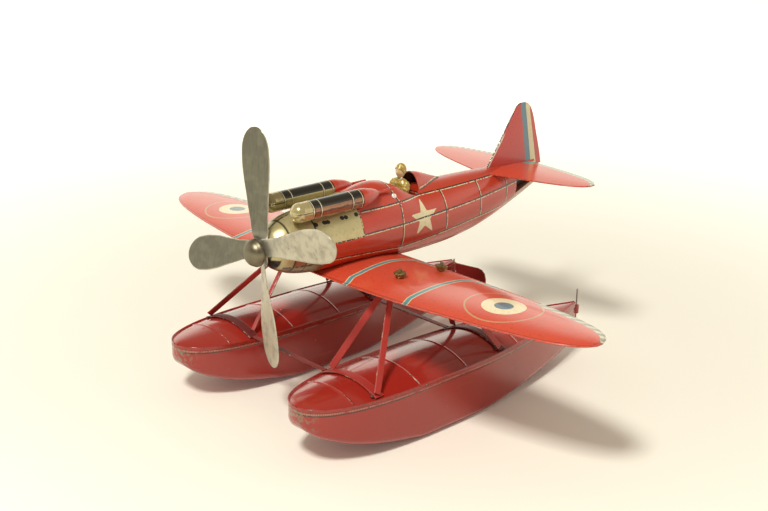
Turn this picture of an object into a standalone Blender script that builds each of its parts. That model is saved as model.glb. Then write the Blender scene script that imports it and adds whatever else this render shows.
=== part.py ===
"""A lithographed tinplate clockwork toy seaplane: one wing, twin floats and a four-bladed propeller.

The nose points to -Y, the port wing to +X, and the floats stand on the floor at z = 0.
Stations run aft from the propeller in millimetres, and heights run up from the floor.
"""
import math

import bmesh
import bpy
from mathutils import Matrix, Vector

MM = 0.001
GAP = 0.3                 # clearance between pieces that touch

# Driving dimensions of the toy, in millimetres
HALF_SPAN = 264.0
BOW_STATION = -31.0       # foremost point of the floats
TAIL_STATION = 349.0      # aftmost point of the fin
MIDDLE_STATION = (BOW_STATION + TAIL_STATION) / 2
AXIS_HEIGHT = 149.0       # propeller shaft
SEAM_HEIGHT = 121.0       # rim of the wing
TAIL_HEIGHT = 170.0
GUNWALE = 47.0            # where the deck sits on the hull
FLOAT_SPREAD = 81.5       # centre of each float from the middle plane
BLADE_LENGTH = 101.5
PILOT_STATION = 157.0
PILOT_CHEST = ((0, PILOT_STATION, 172.5), (9.6, 6.2, 12.0))     # centre and half sizes
PILOT_HEAD = ((0, PILOT_STATION, 190.5), (4.9, 5.3, 6.4))
SIDES = {"port": 1, "starboard": -1}

# Fuselage sections: station, half width, bottom, middle and top heights
BODY = [
    (4.5, 10.5, 138.5, 149.0, 160.5),
    (9.0, 15.0, 133.5, 149.5, 166.0),
    (17.0, 20.0, 128.5, 150.0, 171.0),
    (28.0, 23.5, 124.5, 149.5, 174.5),
    (42.0, 25.5, 122.0, 149.0, 176.5),
    (65.0, 26.8, 119.8, 148.0, 179.0),
    (93.0, 27.5, 117.8, 146.5, 183.5),
    (120.0, 27.5, 116.2, 145.5, 187.0),
    (137.0, 27.5, 115.2, 145.0, 184.5),
    (166.0, 27.2, 114.2, 145.0, 175.0),
    (200.0, 26.0, 114.8, 145.5, 175.5),
    (235.0, 23.0, 118.2, 147.0, 175.0),
    (262.0, 19.5, 123.5, 149.0, 174.0),
    (290.0, 14.6, 131.2, 152.0, 172.6),
    (315.0, 9.6, 138.6, 156.5, 172.0),
    (327.0, 7.2, 142.6, 158.5, 172.0),
    (337.0, 5.0, 146.2, 160.0, 172.0),
]
COWL_SEAM = 42.0          # the nose cowl ends here and the body shell starts
SHAFT_HOLE = 2.5
WELL_FLOOR = 160.0

# One side of the drop-shaped cockpit opening: distance from the middle, station
COCKPIT = [(0.0, 131.8), (2.5, 132.2), (4.8, 133.6), (7.0, 136.3), (9.3, 140.5), (12.4, 145.1), (14.6, 150.5),
           (15.6, 156.0), (15.3, 161.5), (13.5, 165.8), (10.5, 168.2), (0.0, 168.2)]

# Headrest arches behind it: station, half width, top
HEADREST = [(168.5, 12.5, 187.8), (182.0, 9.6, 184.4), (195.0, 5.4, 179.6), (205.0, 1.6, 176.2)]
HEADREST_BASE = 165.0

# The cylinder banks, and the fairings behind them as station, radius and drift towards the middle
BANK_SPREAD = 18.8
BANK_HEIGHT = 181.0
BANK_RADIUS = 8.4
BANK_FRONT = 27.0                       # the dome's foot
BANK_REAR = 93.0
FAIRING = [(BANK_REAR + GAP, 8.2, 0.0), (100.0, 7.0, 0.2), (106.0, 5.4, 0.5), (111.0, 3.3, 0.8), (114.5, 1.2, 1.0)]

# The clockwork and its winding arbor: lowest and highest corners
MOTOR = ((-15.0, 50.0, 134.0), (15.0, 110.0, 164.0))
ARBOR = ((-31.5, 78.4, 147.4), (-14.0, 81.6, 150.6))
KEY_HOLE = 3.2

# Wing rows: distance from the middle, leading edge, trailing edge, crown, belly
WING = [
    (0.0, 50.0, 139.5, 5.0, 2.2),
    (30.0, 50.0, 140.0, 5.0, 2.2),
    (76.0, 52.5, 140.5, 5.0, 2.2),
    (115.0, 56.0, 140.5, 4.8, 2.0),
    (152.0, 61.5, 140.0, 4.5, 1.8),
    (182.0, 67.0, 139.0, 4.1, 1.6),
    (212.0, 74.0, 137.0, 3.6, 1.3),
    (236.0, 81.5, 133.0, 2.9, 1.0),
    (252.0, 89.5, 127.0, 2.0, 0.6),
    (260.5, 97.5, 119.5, 1.0, 0.3),
    (HALF_SPAN, 104.0, 111.5, 0.4, 0.1),
]
RIM = 0.6                 # half the height of the folded seam round wing and tail

# Tailplane rows: distance from the middle, leading edge, trailing edge, half thickness
TAIL = [
    (3.0, 262.0, 331.0, 2.4),
    (20.0, 267.0, 330.0, 2.3),
    (50.0, 275.5, 327.0, 1.9),
    (78.0, 285.5, 322.0, 1.4),
    (93.0, 294.5, 315.0, 0.9),
    (98.0, 301.0, 309.5, 0.6),
]

# Fin rows: height, leading edge, trailing edge, half thickness
FIN = [
    (166.0, 264.5, 349.0, 2.8),
    (175.0, 271.0, 347.0, 2.6),
    (198.0, 288.0, 340.0, 2.0),
    (220.0, 303.5, 332.5, 1.3),
    (228.0, 310.0, 326.5, 0.9),
    (230.0, 314.0, 321.5, 0.7),
]

# Float sections: station, half width, height of the bottom, camber of the deck
FLOAT = [
    (BOW_STATION, 4.5, 38.0, 0.8),
    (-29.5, 9.5, 33.5, 1.5),
    (-26.0, 15.0, 29.0, 2.5),
    (-20.0, 20.5, 24.5, 3.6),
    (-11.0, 25.5, 20.5, 4.8),
    (1.0, 30.0, 16.0, 6.0),
    (15.0, 33.5, 12.0, 7.2),
    (31.0, 36.0, 8.3, 8.0),
    (55.0, 37.8, 3.8, 8.8),
    (82.0, 38.4, 0.0, 9.4),
    (120.0, 38.2, 0.0, 10.0),
    (156.0, 36.8, 0.0, 9.8),
    (190.0, 33.2, 2.5, 8.8),
    (222.0, 27.8, 5.2, 7.2),
    (255.0, 20.4, 7.2, 5.2),
    (285.0, 12.0, 8.4, 3.0),
    (304.0, 5.3, 9.0, 1.2),
    (313.5, 1.6, 9.2, 0.4),
]
DECK_RIBS = [5.0, 70.0, 125.0, 196.0]
RIM_HEIGHT = 3.5          # the rolled rim above the gunwale
RIM_WIDTH = 1.4

# The floats' carriage, as pairs of (distance from the middle, station): thumb nut, strut heads
CARRIAGE = {"front": ((75.0, 86.5), (67.0, 80.5)), "rear": ((79.5, 129.5), (80.0, 134.0))}
SADDLE_STATION = {"front": 28.5, "rear": 172.0}
SADDLE_REACH = 33.0
SADDLE_WIDTH = 9.0
SADDLE_SHEET = 1.3
STRUT_FEET = {"inner": (-28.0, 2.0), "outer": (32.0, -2.0)}     # across the float, aft of the saddle
STRUT_HEADS = {"inner": -4.0, "outer": 4.0}                     # on each side of the heads' point
CROSS_STRAP = (5.0, 1.3)  # width and sheet of the two straps between the floats
STRUT_WIDTH = 6.0
STRUT_THICKNESS = 1.4
FOOT_LIFT = 1.7           # the level foot of a strut clears the sloping saddle
BRACKET_HEIGHT = 115.6    # underside of the plates that carry the strut heads
BRACKET_SHEET = 1.4
BRACKET_MARGIN = 5.0
STUD_RADIUS = 1.6
NUT_RADIUS = 5.4
NUT_HEIGHT = 4.1
NUT_LIFT = 0.7            # the nut's rim clears the curved wing

# Propeller blade: distance from the shaft, half width
BLADE = [
    (0.0, 6.5),
    (14.0, 5.6),
    (24.0, 6.2),
    (40.0, 9.0),
    (58.0, 12.0),
    (74.0, 13.6),
    (87.0, 12.8),
    (95.0, 10.0),
    (99.5, 6.4),
    (BLADE_LENGTH, 2.6),
]
BLADE_PAIRS = {"a": (1.4, -8.0, 4.0), "b": (0.0, 74.5, -3.0)}   # station, lean, dish at the tip
BLADE_TWIST = 15.0
BLADE_SHEET = 1.2
HUB_CAP = [(0.0, 7.0), (2.6, 7.0), (2.8, 10.8), (5.4, 10.4), (8.6, 8.4), (11.2, 5.4), (12.4, 2.4)]
SHAFT_RADIUS = 2.1

# Water rudder on the starboard float
PIN_STATION = 315.9
TUBE_RADIUS = 2.0         # rolled tube of the rudder; the hull's knuckles are wider
KNUCKLE_RADIUS = 2.6
RUDDER_REST = 78.0        # it stands turned towards port
RUDDER_LENGTH = 39.0
RUDDER_SHEET = 1.2
RUDDER_TUBE = (15.3, 37.7)
KNUCKLES = {"lower": (9.4, 15.0), "upper": (38.0, 46.8)}
PINS = {"port": (5.0, 62.5), "starboard": (5.0, 50.5)}
PIN_RADIUS = 0.7
PIN_HOLE = 1.0

COLOURS = {
    "fuselage red": ((0.60, 0.05, 0.035, 1), 0.35, 0.0),
    "wing red": ((0.78, 0.09, 0.04, 1), 0.35, 0.0),
    "float red": ((0.42, 0.035, 0.025, 1), 0.3, 0.0),
    "cowl gold": ((0.62, 0.55, 0.32, 1), 0.35, 0.6),
    "aluminium": ((0.62, 0.61, 0.56, 1), 0.4, 1.0),
    "brass": ((0.55, 0.42, 0.16, 1), 0.4, 1.0),
    "steel": ((0.30, 0.29, 0.27, 1), 0.45, 1.0),
    "pilot gold": ((0.65, 0.45, 0.10, 1), 0.45, 0.3),
}


def clear_scene():
    for item in list(bpy.data.objects):
        bpy.data.objects.remove(item, do_unlink=True)


def make_materials():
    for name, (colour, roughness, metallic) in COLOURS.items():
        material = bpy.data.materials.new(name)
        material.use_nodes = True
        shader = material.node_tree.nodes["Principled BSDF"]
        shader.inputs["Base Color"].default_value = colour
        shader.inputs["Roughness"].default_value = roughness
        shader.inputs["Metallic"].default_value = metallic
        material.diffuse_color = colour


def at(x, station, height):
    """A point from millimetres: across, aft of the propeller and above the floor."""
    return Vector((x, station - MIDDLE_STATION, height)) * MM


def between(rows, value, column):
    """Reads one column of a table at a value of its first column, with straight lines between rows."""
    if value <= rows[0][0]:
        return rows[0][column]
    for low, high in zip(rows, rows[1:]):
        if value <= high[0]:
            share = (value - low[0]) / (high[0] - low[0])
            return low[column] + share * (high[column] - low[column])
    return rows[-1][column]


def add_mesh(name, mesh, material, collection):
    item = bpy.data.objects.new(name, mesh)
    collection.objects.link(item)
    if material:
        mesh.materials.append(bpy.data.materials[material])
    return item


def finish(name, shape, material, collection):
    """Turns an edit mesh into an object with all its faces pointing out."""
    bmesh.ops.recalc_face_normals(shape, faces=shape.faces)
    mesh = bpy.data.meshes.new(name)
    shape.to_mesh(mesh)
    shape.free()
    mesh.shade_smooth()
    mesh.set_sharp_from_angle(angle=math.radians(35))
    return add_mesh(name, mesh, material, collection)


def loft(name, rings, material, collection):
    """Skins a row of rings with equal point counts, and closes both ends with flat faces."""
    shape = bmesh.new()
    rows = [[shape.verts.new(point) for point in ring] for ring in rings]
    for low, high in zip(rows, rows[1:]):
        for i, corner in enumerate(low):
            j = (i + 1) % len(low)
            shape.faces.new((corner, low[j], high[j], high[i]))
    shape.faces.new(rows[0])
    shape.faces.new(rows[-1])
    return finish(name, shape, material, collection)


def box(name, low, high, material, collection):
    """A box from its lowest and highest corners in millimetres (across, station, height)."""
    low = at(*low)
    high = at(*high)
    shape = bmesh.new()
    place = Matrix.Translation((low + high) / 2) @ Matrix.Diagonal((*(high - low), 1))
    bmesh.ops.create_cube(shape, size=1.0, matrix=place)
    return finish(name, shape, material, collection)


def rod(name, start, end, radius, material, collection, sides=16):
    """A round bar from one point to another, both in metres; its radius is in millimetres."""
    shape = bmesh.new()
    run = end - start
    turn = run.to_track_quat("Z", "Y").to_matrix().to_4x4()
    bmesh.ops.create_cone(
        shape,
        cap_ends=True,
        segments=sides,
        radius1=radius * MM,
        radius2=radius * MM,
        depth=run.length,
        matrix=Matrix.Translation((start + end) / 2) @ turn,
    )
    return finish(name, shape, material, collection)


def ball(name, centre, radii, material, collection, around=18, rows=12):
    """An ellipsoid with its centre and half sizes in millimetres."""
    shape = bmesh.new()
    size = Matrix.Diagonal((radii[0] * MM, radii[1] * MM, radii[2] * MM, 1))
    place = Matrix.Translation(at(*centre)) @ size
    bmesh.ops.create_uvsphere(shape, u_segments=around, v_segments=rows, radius=1.0, matrix=place)
    return finish(name, shape, material, collection)


def combine(item, tool, operation):
    """Adds an exact Boolean to a piece, and hides the tool that it uses."""
    step = item.modifiers.new(operation.lower(), "BOOLEAN")
    step.operation = operation
    step.solver = "EXACT"
    step.object = tool
    tool.hide_render = True
    tool.display_type = "WIRE"


def body_ring(row, grow=0.0, points=28):
    """An oval section of the fuselage whose lower and upper halves have their own heights."""
    station, width, bottom, middle, top = row
    ring = []
    for i in range(points):
        angle = 2 * math.pi * i / points
        across = (width + grow) * math.sin(angle)
        up = math.cos(angle)
        reach = (top - middle if up > 0 else middle - bottom) + grow
        ring.append(at(across, station, middle + reach * up))
    return ring


def body_rows(first, last):
    """The fuselage table between two stations, with an exact row at each of them."""
    def row_at(station):
        return (station, *(between(BODY, station, column) for column in range(1, 5)))
    inner = [row for row in BODY if first + 1 < row[0] < last - 1]
    return [row_at(first), *inner, row_at(last)]


def wing_top(row, share):
    """Height of the wing's upper skin above the seam at a share of the chord."""
    return RIM + row[3] * (1 - abs(2 * share ** 0.86 - 1) ** 2.3)


def wing_ring(row, side, grow=0.0, floor=None, steps=12):
    """A wing section: over the top from the leading edge, and back along the belly or a flat floor."""
    distance, front, back, _, belly = row
    front -= grow
    back += grow
    ring = []
    for i in range(steps + 1):
        share = i / steps
        height = SEAM_HEIGHT + wing_top(row, share) + grow
        ring.append(at(side * distance, front + share * (back - front), height))
    for i in range(steps, -1, -1):
        share = i / steps
        drop = RIM + belly * math.sin(math.pi * share)
        height = SEAM_HEIGHT - drop if floor is None else floor
        ring.append(at(side * distance, front + share * (back - front), height))
    return ring


def lens_ring(place, front, back, thickness, steps=6):
    """A thin double-curved section between two edges; place turns (station, offset) into a point."""
    upper = []
    lower = []
    for i in range(steps + 1):
        share = i / steps
        station = front + share * (back - front)
        offset = RIM + (thickness - RIM) * math.sin(math.pi * share)
        upper.append(place(station, offset))
        lower.append(place(station, -offset))
    return upper + lower[::-1]


def deck_height(station, across):
    """Height of the cambered deck at a station and a distance from the float's middle."""
    width = between(FLOAT, station, 1) - RIM_WIDTH - 0.5
    camber = between(FLOAT, station, 3)
    return GUNWALE + RIM_HEIGHT - 1.2 + camber * (1 - min(1.0, abs(across) / width) ** 2)


def hull_ring(centre, station, width, bottom):
    """A float hull section: flat top, upright sides and rounded bilges."""
    bilge = min(4.0, 0.6 * width)
    rise = min(5.0, 0.3 * (GUNWALE - bottom))
    half = [
        (width, GUNWALE),
        (width, bottom + rise),
        (width - 0.3 * bilge, bottom + 0.35 * rise),
        (width - bilge, bottom),
    ]
    ring = [at(centre + x, station, z) for x, z in half]
    return ring + [at(centre - x, station, z) for x, z in reversed(half)]


def deck_ring(centre, station, bead, steps=12):
    """A deck section: flat underside, rolled rims and a cambered top, raised where a rib is pressed."""
    width = between(FLOAT, station, 1)
    rim = min(RIM_WIDTH, 0.3 * width)
    foot = min(0.5, 0.1 * width)
    base = GUNWALE + GAP
    crest = GUNWALE + RIM_HEIGHT
    inner = width - rim - foot
    ring = [at(centre + width, station, base), at(centre + width, station, crest)]
    ring.append(at(centre + width - rim, station, crest))
    camber = between(FLOAT, station, 3)
    for i in range(steps + 1):
        across = inner * (1 - 2 * i / steps)
        height = crest - 1.2 + camber * (1 - (across / inner) ** 2)
        height += bead if 0 < i < steps else 0
        ring.append(at(centre + across, station, height))
    ring.append(at(centre - width + rim, station, crest))
    ring += [at(centre - width, station, crest), at(centre - width, station, base)]
    return ring


def make_fuselage(parts, cutters):
    """The body shell, with the wing bed, the cockpit well, the motor bay and the key hole cut into it."""
    rings = [body_ring(row) for row in body_rows(COWL_SEAM + GAP, BODY[-1][0])]
    shell = loft("fuselage", rings, "fuselage red", parts)
    bed_rows = [row for row in WING if row[0] <= 76.0]
    bed = [wing_ring(row, -1, GAP, 100.0) for row in reversed(bed_rows[1:])]
    bed += [wing_ring(row, 1, GAP, 100.0) for row in bed_rows]
    combine(shell, loft("cut wing bed", bed, None, cutters), "DIFFERENCE")
    opening = COCKPIT + [(-x, station) for x, station in COCKPIT[-1:0:-1] if x > 0]
    well = [[at(x, station, height) for x, station in opening] for height in (WELL_FLOOR, 195.0)]
    combine(shell, loft("cut cockpit", well, None, cutters), "DIFFERENCE")
    low, high = MOTOR
    bay_low = (low[0] - GAP, COWL_SEAM - 12, low[2] - GAP)
    bay_high = (high[0] + GAP, high[1] + 2, high[2] + GAP)
    combine(shell, box("cut motor bay", bay_low, bay_high, None, cutters), "DIFFERENCE")
    hole = rod("cut key hole", at(-10, 80, AXIS_HEIGHT), at(-40, 80, AXIS_HEIGHT), KEY_HOLE, None, cutters)
    combine(shell, hole, "DIFFERENCE")


def turn_steps(count):
    return [2 * math.pi * i / count for i in range(count)]


def make_cowl(parts, cutters):
    """The pressed nose with a hole for the propeller shaft."""
    rings = [body_ring(row) for row in body_rows(BODY[0][0], COWL_SEAM)]
    cowl = loft("nose_cowl", rings, "cowl gold", parts)
    hole = rod("cut shaft hole", at(0, -5, AXIS_HEIGHT), at(0, 60, AXIS_HEIGHT), SHAFT_HOLE, None, cutters)
    combine(cowl, hole, "DIFFERENCE")


def grown_body(cutters):
    """The whole fuselage a little larger, which trims whatever lies against it."""
    nose = (BODY[0][0] - GAP, *BODY[0][1:])
    tail = (BODY[-1][0] + GAP, *BODY[-1][1:])
    rings = [body_ring(row, 1.3 * GAP) for row in (nose, *BODY, tail)]
    return loft("cut body", rings, None, cutters)


def make_banks(parts, body):
    """Two cylinder banks with domed fronts, and the tapered fairings behind them."""
    for side, sign in SIDES.items():
        rings = []
        for angle in (80, 60, 40, 20):
            reach = math.radians(angle)
            rings.append((BANK_FRONT - BANK_RADIUS * math.sin(reach), BANK_RADIUS * math.cos(reach)))
        rings += [(BANK_FRONT, BANK_RADIUS), (BANK_REAR, BANK_RADIUS)]
        bank = [bank_ring(sign, *ring) for ring in rings]
        combine(loft(f"cylinder_bank_{side}", bank, "cowl gold", parts), body, "DIFFERENCE")
        fairing = [bank_ring(sign, *row) for row in FAIRING]
        combine(loft(f"bank_fairing_{side}", fairing, "fuselage red", parts), body, "DIFFERENCE")


def bank_ring(sign, station, radius, drift=0.0):
    """A circle round a bank's axis, which drifts inwards and up behind the bank."""
    across = sign * (BANK_SPREAD - drift)
    height = BANK_HEIGHT + 0.8 * drift
    return [at(across + radius * math.sin(a), station, height + radius * math.cos(a)) for a in turn_steps(20)]


def make_headrest(parts, body):
    """The arched fairing behind the cockpit, which tapers to a point."""
    rings = []
    for station, width, top in HEADREST:
        arc = [(width * math.cos(a), HEADREST_BASE + (top - HEADREST_BASE) * math.sin(a))
               for a in [math.pi * i / 14 for i in range(15)]]
        rings.append([at(x, station, z) for x, z in arc])
    combine(loft("headrest_fairing", rings, "fuselage red", parts), body, "DIFFERENCE")


def make_pilot(parts, cutters):
    """A small painted figure to the chest, in a helmet and goggles."""
    figure = ball("pilot", *PILOT_CHEST, "pilot gold", parts)
    combine(figure, ball("join head", *PILOT_HEAD, None, cutters), "UNION")


def make_motor(parts, cutters):
    """The clockwork as one plain block, with the square winding arbor on the starboard side."""
    motor = box("clockwork_motor", *MOTOR, "steel", parts)
    combine(motor, box("join arbor", *ARBOR, None, cutters), "UNION")


def make_wing(parts):
    """The one-piece wing, which passes under the fuselage."""
    rings = [wing_ring(row, -1) for row in reversed(WING[1:])]
    rings += [wing_ring(row, 1) for row in WING]
    return loft("wing", rings, "wing red", parts)


def make_tail(parts, body):
    for side, sign in SIDES.items():
        rings = []
        for distance, front, back, thickness in TAIL:
            def place(station, offset, distance=distance):
                return at(sign * distance, station, TAIL_HEIGHT + offset)
            rings.append(lens_ring(place, front, back, thickness))
        combine(loft(f"tailplane_{side}", rings, "wing red", parts), body, "DIFFERENCE")
    rings = []
    for height, front, back, thickness in FIN:
        def stand(station, offset, height=height):
            return at(offset, station, height)
        rings.append(lens_ring(stand, front, back, thickness))
    combine(loft("fin", rings, "fuselage red", parts), body, "DIFFERENCE")


def make_floats(parts, cutters):
    """Boat-shaped hulls with knuckles for the rudder pins, and cambered decks with pressed ribs."""
    for side, sign in SIDES.items():
        centre = sign * FLOAT_SPREAD
        rings = [hull_ring(centre, s, w, b) for s, w, b, _ in FLOAT]
        hull = loft(f"float_hull_{side}", rings, "float red", parts)
        for end, (low, high) in KNUCKLES.items():
            foot = at(centre, PIN_STATION, low)
            head = at(centre, PIN_STATION, high)
            knuckle = rod(f"join {end} knuckle {side}", foot, head, KNUCKLE_RADIUS, None, cutters)
            combine(hull, knuckle, "UNION")
        foot = at(centre, PIN_STATION, 0)
        head = at(centre, PIN_STATION, 70)
        combine(hull, rod(f"cut pin hole {side}", foot, head, PIN_HOLE, None, cutters), "DIFFERENCE")
        stations = {row[0]: 0.0 for row in FLOAT}
        for rib in DECK_RIBS:
            stations.update({rib - 1.2: 0.0, rib - 0.5: 0.7, rib + 0.5: 0.7, rib + 1.2: 0.0})
        rings = [deck_ring(centre, s, stations[s]) for s in sorted(stations)]
        loft(f"float_deck_{side}", rings, "float red", parts)


def make_saddle(name, centre, station, parts):
    """A strip bent over the deck from rim to rim."""
    rings = []
    for i in range(13):
        across = SADDLE_REACH * (2 * i / 12 - 1)
        half = SADDLE_WIDTH / 2
        low = saddle_seat(station, across)
        corners = [(-half, low), (half, low), (half, low + SADDLE_SHEET), (-half, low + SADDLE_SHEET)]
        rings.append([at(centre + across, station + s, z) for s, z in corners])
    loft(name, rings, "float red", parts)


def saddle_seat(station, across):
    """Height of a saddle's underside, clear of the deck below it."""
    half = SADDLE_WIDTH / 2
    return max(deck_height(station - half, across), deck_height(station + half, across)) + GAP


def make_strut(name, foot, head, parts):
    """A flat strip between two points, with its width level."""
    run = (head - foot).normalized()
    level = run.cross(Vector((0, 0, 1))).normalized()
    if level.y < 0:
        level = -level
    face = run.cross(level)
    rings = []
    for point in (foot, head):
        wide = level * STRUT_WIDTH / 2 * MM
        deep = face * STRUT_THICKNESS / 2 * MM
        rings.append([point - wide - deep, point + wide - deep, point + wide + deep, point - wide + deep])
    loft(name, rings, "fuselage red", parts)


def make_carriage(parts, cutters, wing):
    """Saddles, struts, wing brackets with studs, thumb nuts and the two cross straps."""
    for end, (nut, heads) in CARRIAGE.items():
        station = SADDLE_STATION[end]
        for side, sign in SIDES.items():
            centre = sign * FLOAT_SPREAD
            make_saddle(f"saddle_{end}_{side}", centre, station, parts)
            make_fastening(f"{end}_{side}", sign, nut, heads, parts, cutters, wing)
            for name, (across, aft) in STRUT_FEET.items():
                foot_height = saddle_seat(station, across) + SADDLE_SHEET + FOOT_LIFT
                foot = at(centre + sign * across, station + aft, foot_height)
                head_across = heads[0] + STRUT_HEADS[name]
                head = at(sign * head_across, heads[1], BRACKET_HEIGHT - GAP - STRUT_THICKNESS / 2)
                make_strut(f"strut_{end}_{name}_{side}", foot, head, parts)
        inner = FLOAT_SPREAD - SADDLE_REACH - GAP
        base = GUNWALE + RIM_HEIGHT + GAP
        width, sheet = CROSS_STRAP
        low = (-inner, station - width / 2, base)
        high = (inner, station + width / 2, base + sheet)
        box(f"cross_strap_{end}", low, high, "float red", parts)


def make_fastening(label, sign, nut, heads, parts, cutters, wing):
    """One wing fastening: a bracket with a stud from below, and a thumb nut on top."""
    distance, station = nut
    front = between(WING, distance, 1)
    back = between(WING, distance, 2)
    row = (0, 0, 0, between(WING, distance, 3), 0)
    share = (station - front) / (back - front)
    top = SEAM_HEIGHT + wing_top(row, share)
    step = 0.02
    rise = (wing_top(row, share + step) - wing_top(row, share - step)) / (2 * step * (back - front))
    lean = Vector((0, -rise, 1)).normalized()
    seat = at(sign * distance, station, top)
    plate_top = BRACKET_HEIGHT + BRACKET_SHEET
    below = seat - lean * (top - plate_top) / lean.z * MM
    acrosses = sorted((sign * distance, sign * heads[0]))
    stations = sorted((station, heads[1]))
    low = (acrosses[0] - BRACKET_MARGIN, stations[0] - BRACKET_MARGIN, BRACKET_HEIGHT)
    high = (acrosses[1] + BRACKET_MARGIN, stations[1] + BRACKET_MARGIN, plate_top)
    bracket = box(f"strut_bracket_{label}", low, high, "float red", parts)
    start = below - lean * 0.7 * MM
    stud = rod(f"join stud {label}", start, seat + lean * 7.4 * MM, STUD_RADIUS, None, cutters, 12)
    combine(bracket, stud, "UNION")
    hole_radius = STUD_RADIUS + 0.4
    start = below - lean * 4 * MM
    hole = rod(f"cut stud hole {label}", start, seat + lean * 12 * MM, hole_radius, None, cutters, 12)
    combine(wing, hole, "DIFFERENCE")
    foot = seat + lean * NUT_LIFT * MM
    nut_piece = rod(f"thumb_nut_{label}", foot, foot + lean * NUT_HEIGHT * MM, NUT_RADIUS, "brass", parts, 20)
    combine(nut_piece, hole, "DIFFERENCE")


def make_propeller(parts):
    """Two crossed strips of sheet aluminium, clamped between the shaft and a domed cap."""
    for pair, (station, lean, dish) in BLADE_PAIRS.items():
        turn = Matrix.Rotation(math.radians(lean), 3, "Y")
        rows = [(-r, w) for r, w in reversed(BLADE[1:])] + BLADE
        rings = []
        for reach, width in rows:
            share = min(1.0, max(0.0, (abs(reach) - 12.0) / 34.0))
            twist = math.radians(BLADE_TWIST) * share * (1 if reach > 0 else -1)
            aft = dish * (reach / BLADE_LENGTH) ** 2
            chord = Vector((math.cos(twist), math.sin(twist), 0))
            face = Vector((-math.sin(twist), math.cos(twist), 0))
            ring = []
            for a, b in ((-1, -1), (1, -1), (1, 1), (-1, 1)):
                local = Vector((0, aft, reach)) + chord * a * width + face * b * BLADE_SHEET / 2
                ring.append(at(0, station, AXIS_HEIGHT) + turn @ local * MM)
            rings.append(ring)
        loft(f"blade_pair_{pair}", rings, "aluminium", parts)
    front = -BLADE_SHEET / 2 - GAP
    rows = [(front - reach, radius) for reach, radius in HUB_CAP]
    rings = [[at(r * math.sin(a), s, AXIS_HEIGHT + r * math.cos(a)) for a in turn_steps(24)] for s, r in rows]
    loft("hub_cap", rings, "aluminium", parts)
    start = at(0, BLADE_PAIRS["a"][0] + BLADE_SHEET / 2 + GAP, AXIS_HEIGHT)
    rod("propeller_shaft", start, at(0, MOTOR[0][1] - GAP, AXIS_HEIGHT), SHAFT_RADIUS, "steel", parts)


def make_rudder(parts, cutters):
    """Wire pins at both sterns, and the sheet rudder that turns on the starboard one."""
    for side, (low, high) in PINS.items():
        centre = SIDES[side] * FLOAT_SPREAD
        foot = at(centre, PIN_STATION, low)
        rod(f"rudder_pin_{side}", foot, at(centre, PIN_STATION, high), PIN_RADIUS, "steel", parts, 12)
    outline = [(1.2, 17.0), (1.2, 36.0), (2.9, 36.0), (2.9, 46.5), (29.0, 46.5), (34.0, 45.1), (37.6, 41.5),
               (RUDDER_LENGTH, 35.5), (RUDDER_LENGTH, 20.0), (35.0, 15.4), (2.9, 15.4), (2.9, 17.0)]
    turn = Matrix.Rotation(-math.radians(RUDDER_REST), 3, "Z")
    hinge = at(-FLOAT_SPREAD, PIN_STATION, 0)
    rings = []
    for offset in (-RUDDER_SHEET / 2, RUDDER_SHEET / 2):
        rings.append([hinge + turn @ Vector((offset, aft, height)) * MM for aft, height in outline])
    rudder = loft("water_rudder", rings, "float red", parts)
    low, high = (hinge + Vector((0, 0, height)) * MM for height in RUDDER_TUBE)
    combine(rudder, rod("join rudder tube", low, high, TUBE_RADIUS, None, cutters), "UNION")
    beyond = Vector((0, 0, 2)) * MM
    bore = rod("cut rudder bore", low - beyond, high + beyond, PIN_HOLE, None, cutters)
    combine(rudder, bore, "DIFFERENCE")


def build():
    clear_scene()
    make_materials()
    parts = bpy.data.collections.new("toy seaplane")
    cutters = bpy.data.collections.new("cutters")
    for collection in (parts, cutters):
        bpy.context.scene.collection.children.link(collection)
    body = grown_body(cutters)
    make_fuselage(parts, cutters)
    make_cowl(parts, cutters)
    make_banks(parts, body)
    make_headrest(parts, body)
    make_pilot(parts, cutters)
    make_motor(parts, cutters)
    wing = make_wing(parts)
    make_tail(parts, body)
    make_floats(parts, cutters)
    make_carriage(parts, cutters, wing)
    make_propeller(parts)
    make_rudder(parts, cutters)


build()
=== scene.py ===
"""A lithographed tinplate clockwork toy seaplane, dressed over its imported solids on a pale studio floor.

The nose points to -Y and the port wing to +X. Unless a line says metres, lengths are millimetres:
x across to port, stations aft of the propeller, heights above the floor.
"""

import math

import bpy
import numpy as np
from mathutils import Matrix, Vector


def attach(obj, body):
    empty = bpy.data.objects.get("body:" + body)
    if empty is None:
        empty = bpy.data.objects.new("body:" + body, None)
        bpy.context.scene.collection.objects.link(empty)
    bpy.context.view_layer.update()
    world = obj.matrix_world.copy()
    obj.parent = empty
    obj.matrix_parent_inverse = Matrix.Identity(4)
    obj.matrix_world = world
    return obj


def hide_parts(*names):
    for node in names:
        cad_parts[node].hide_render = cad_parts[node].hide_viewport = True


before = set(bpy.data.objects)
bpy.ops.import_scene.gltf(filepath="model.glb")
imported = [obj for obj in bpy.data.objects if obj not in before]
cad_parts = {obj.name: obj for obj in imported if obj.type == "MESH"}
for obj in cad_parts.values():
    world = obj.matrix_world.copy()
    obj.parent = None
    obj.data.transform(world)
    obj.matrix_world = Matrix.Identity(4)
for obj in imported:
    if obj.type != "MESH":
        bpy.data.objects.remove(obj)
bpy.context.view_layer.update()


# ---- Camera -----------------------------------------------------------------------------------
# A long lens ahead of the port wing tip and a little above the toy, as in the photograph.

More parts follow.
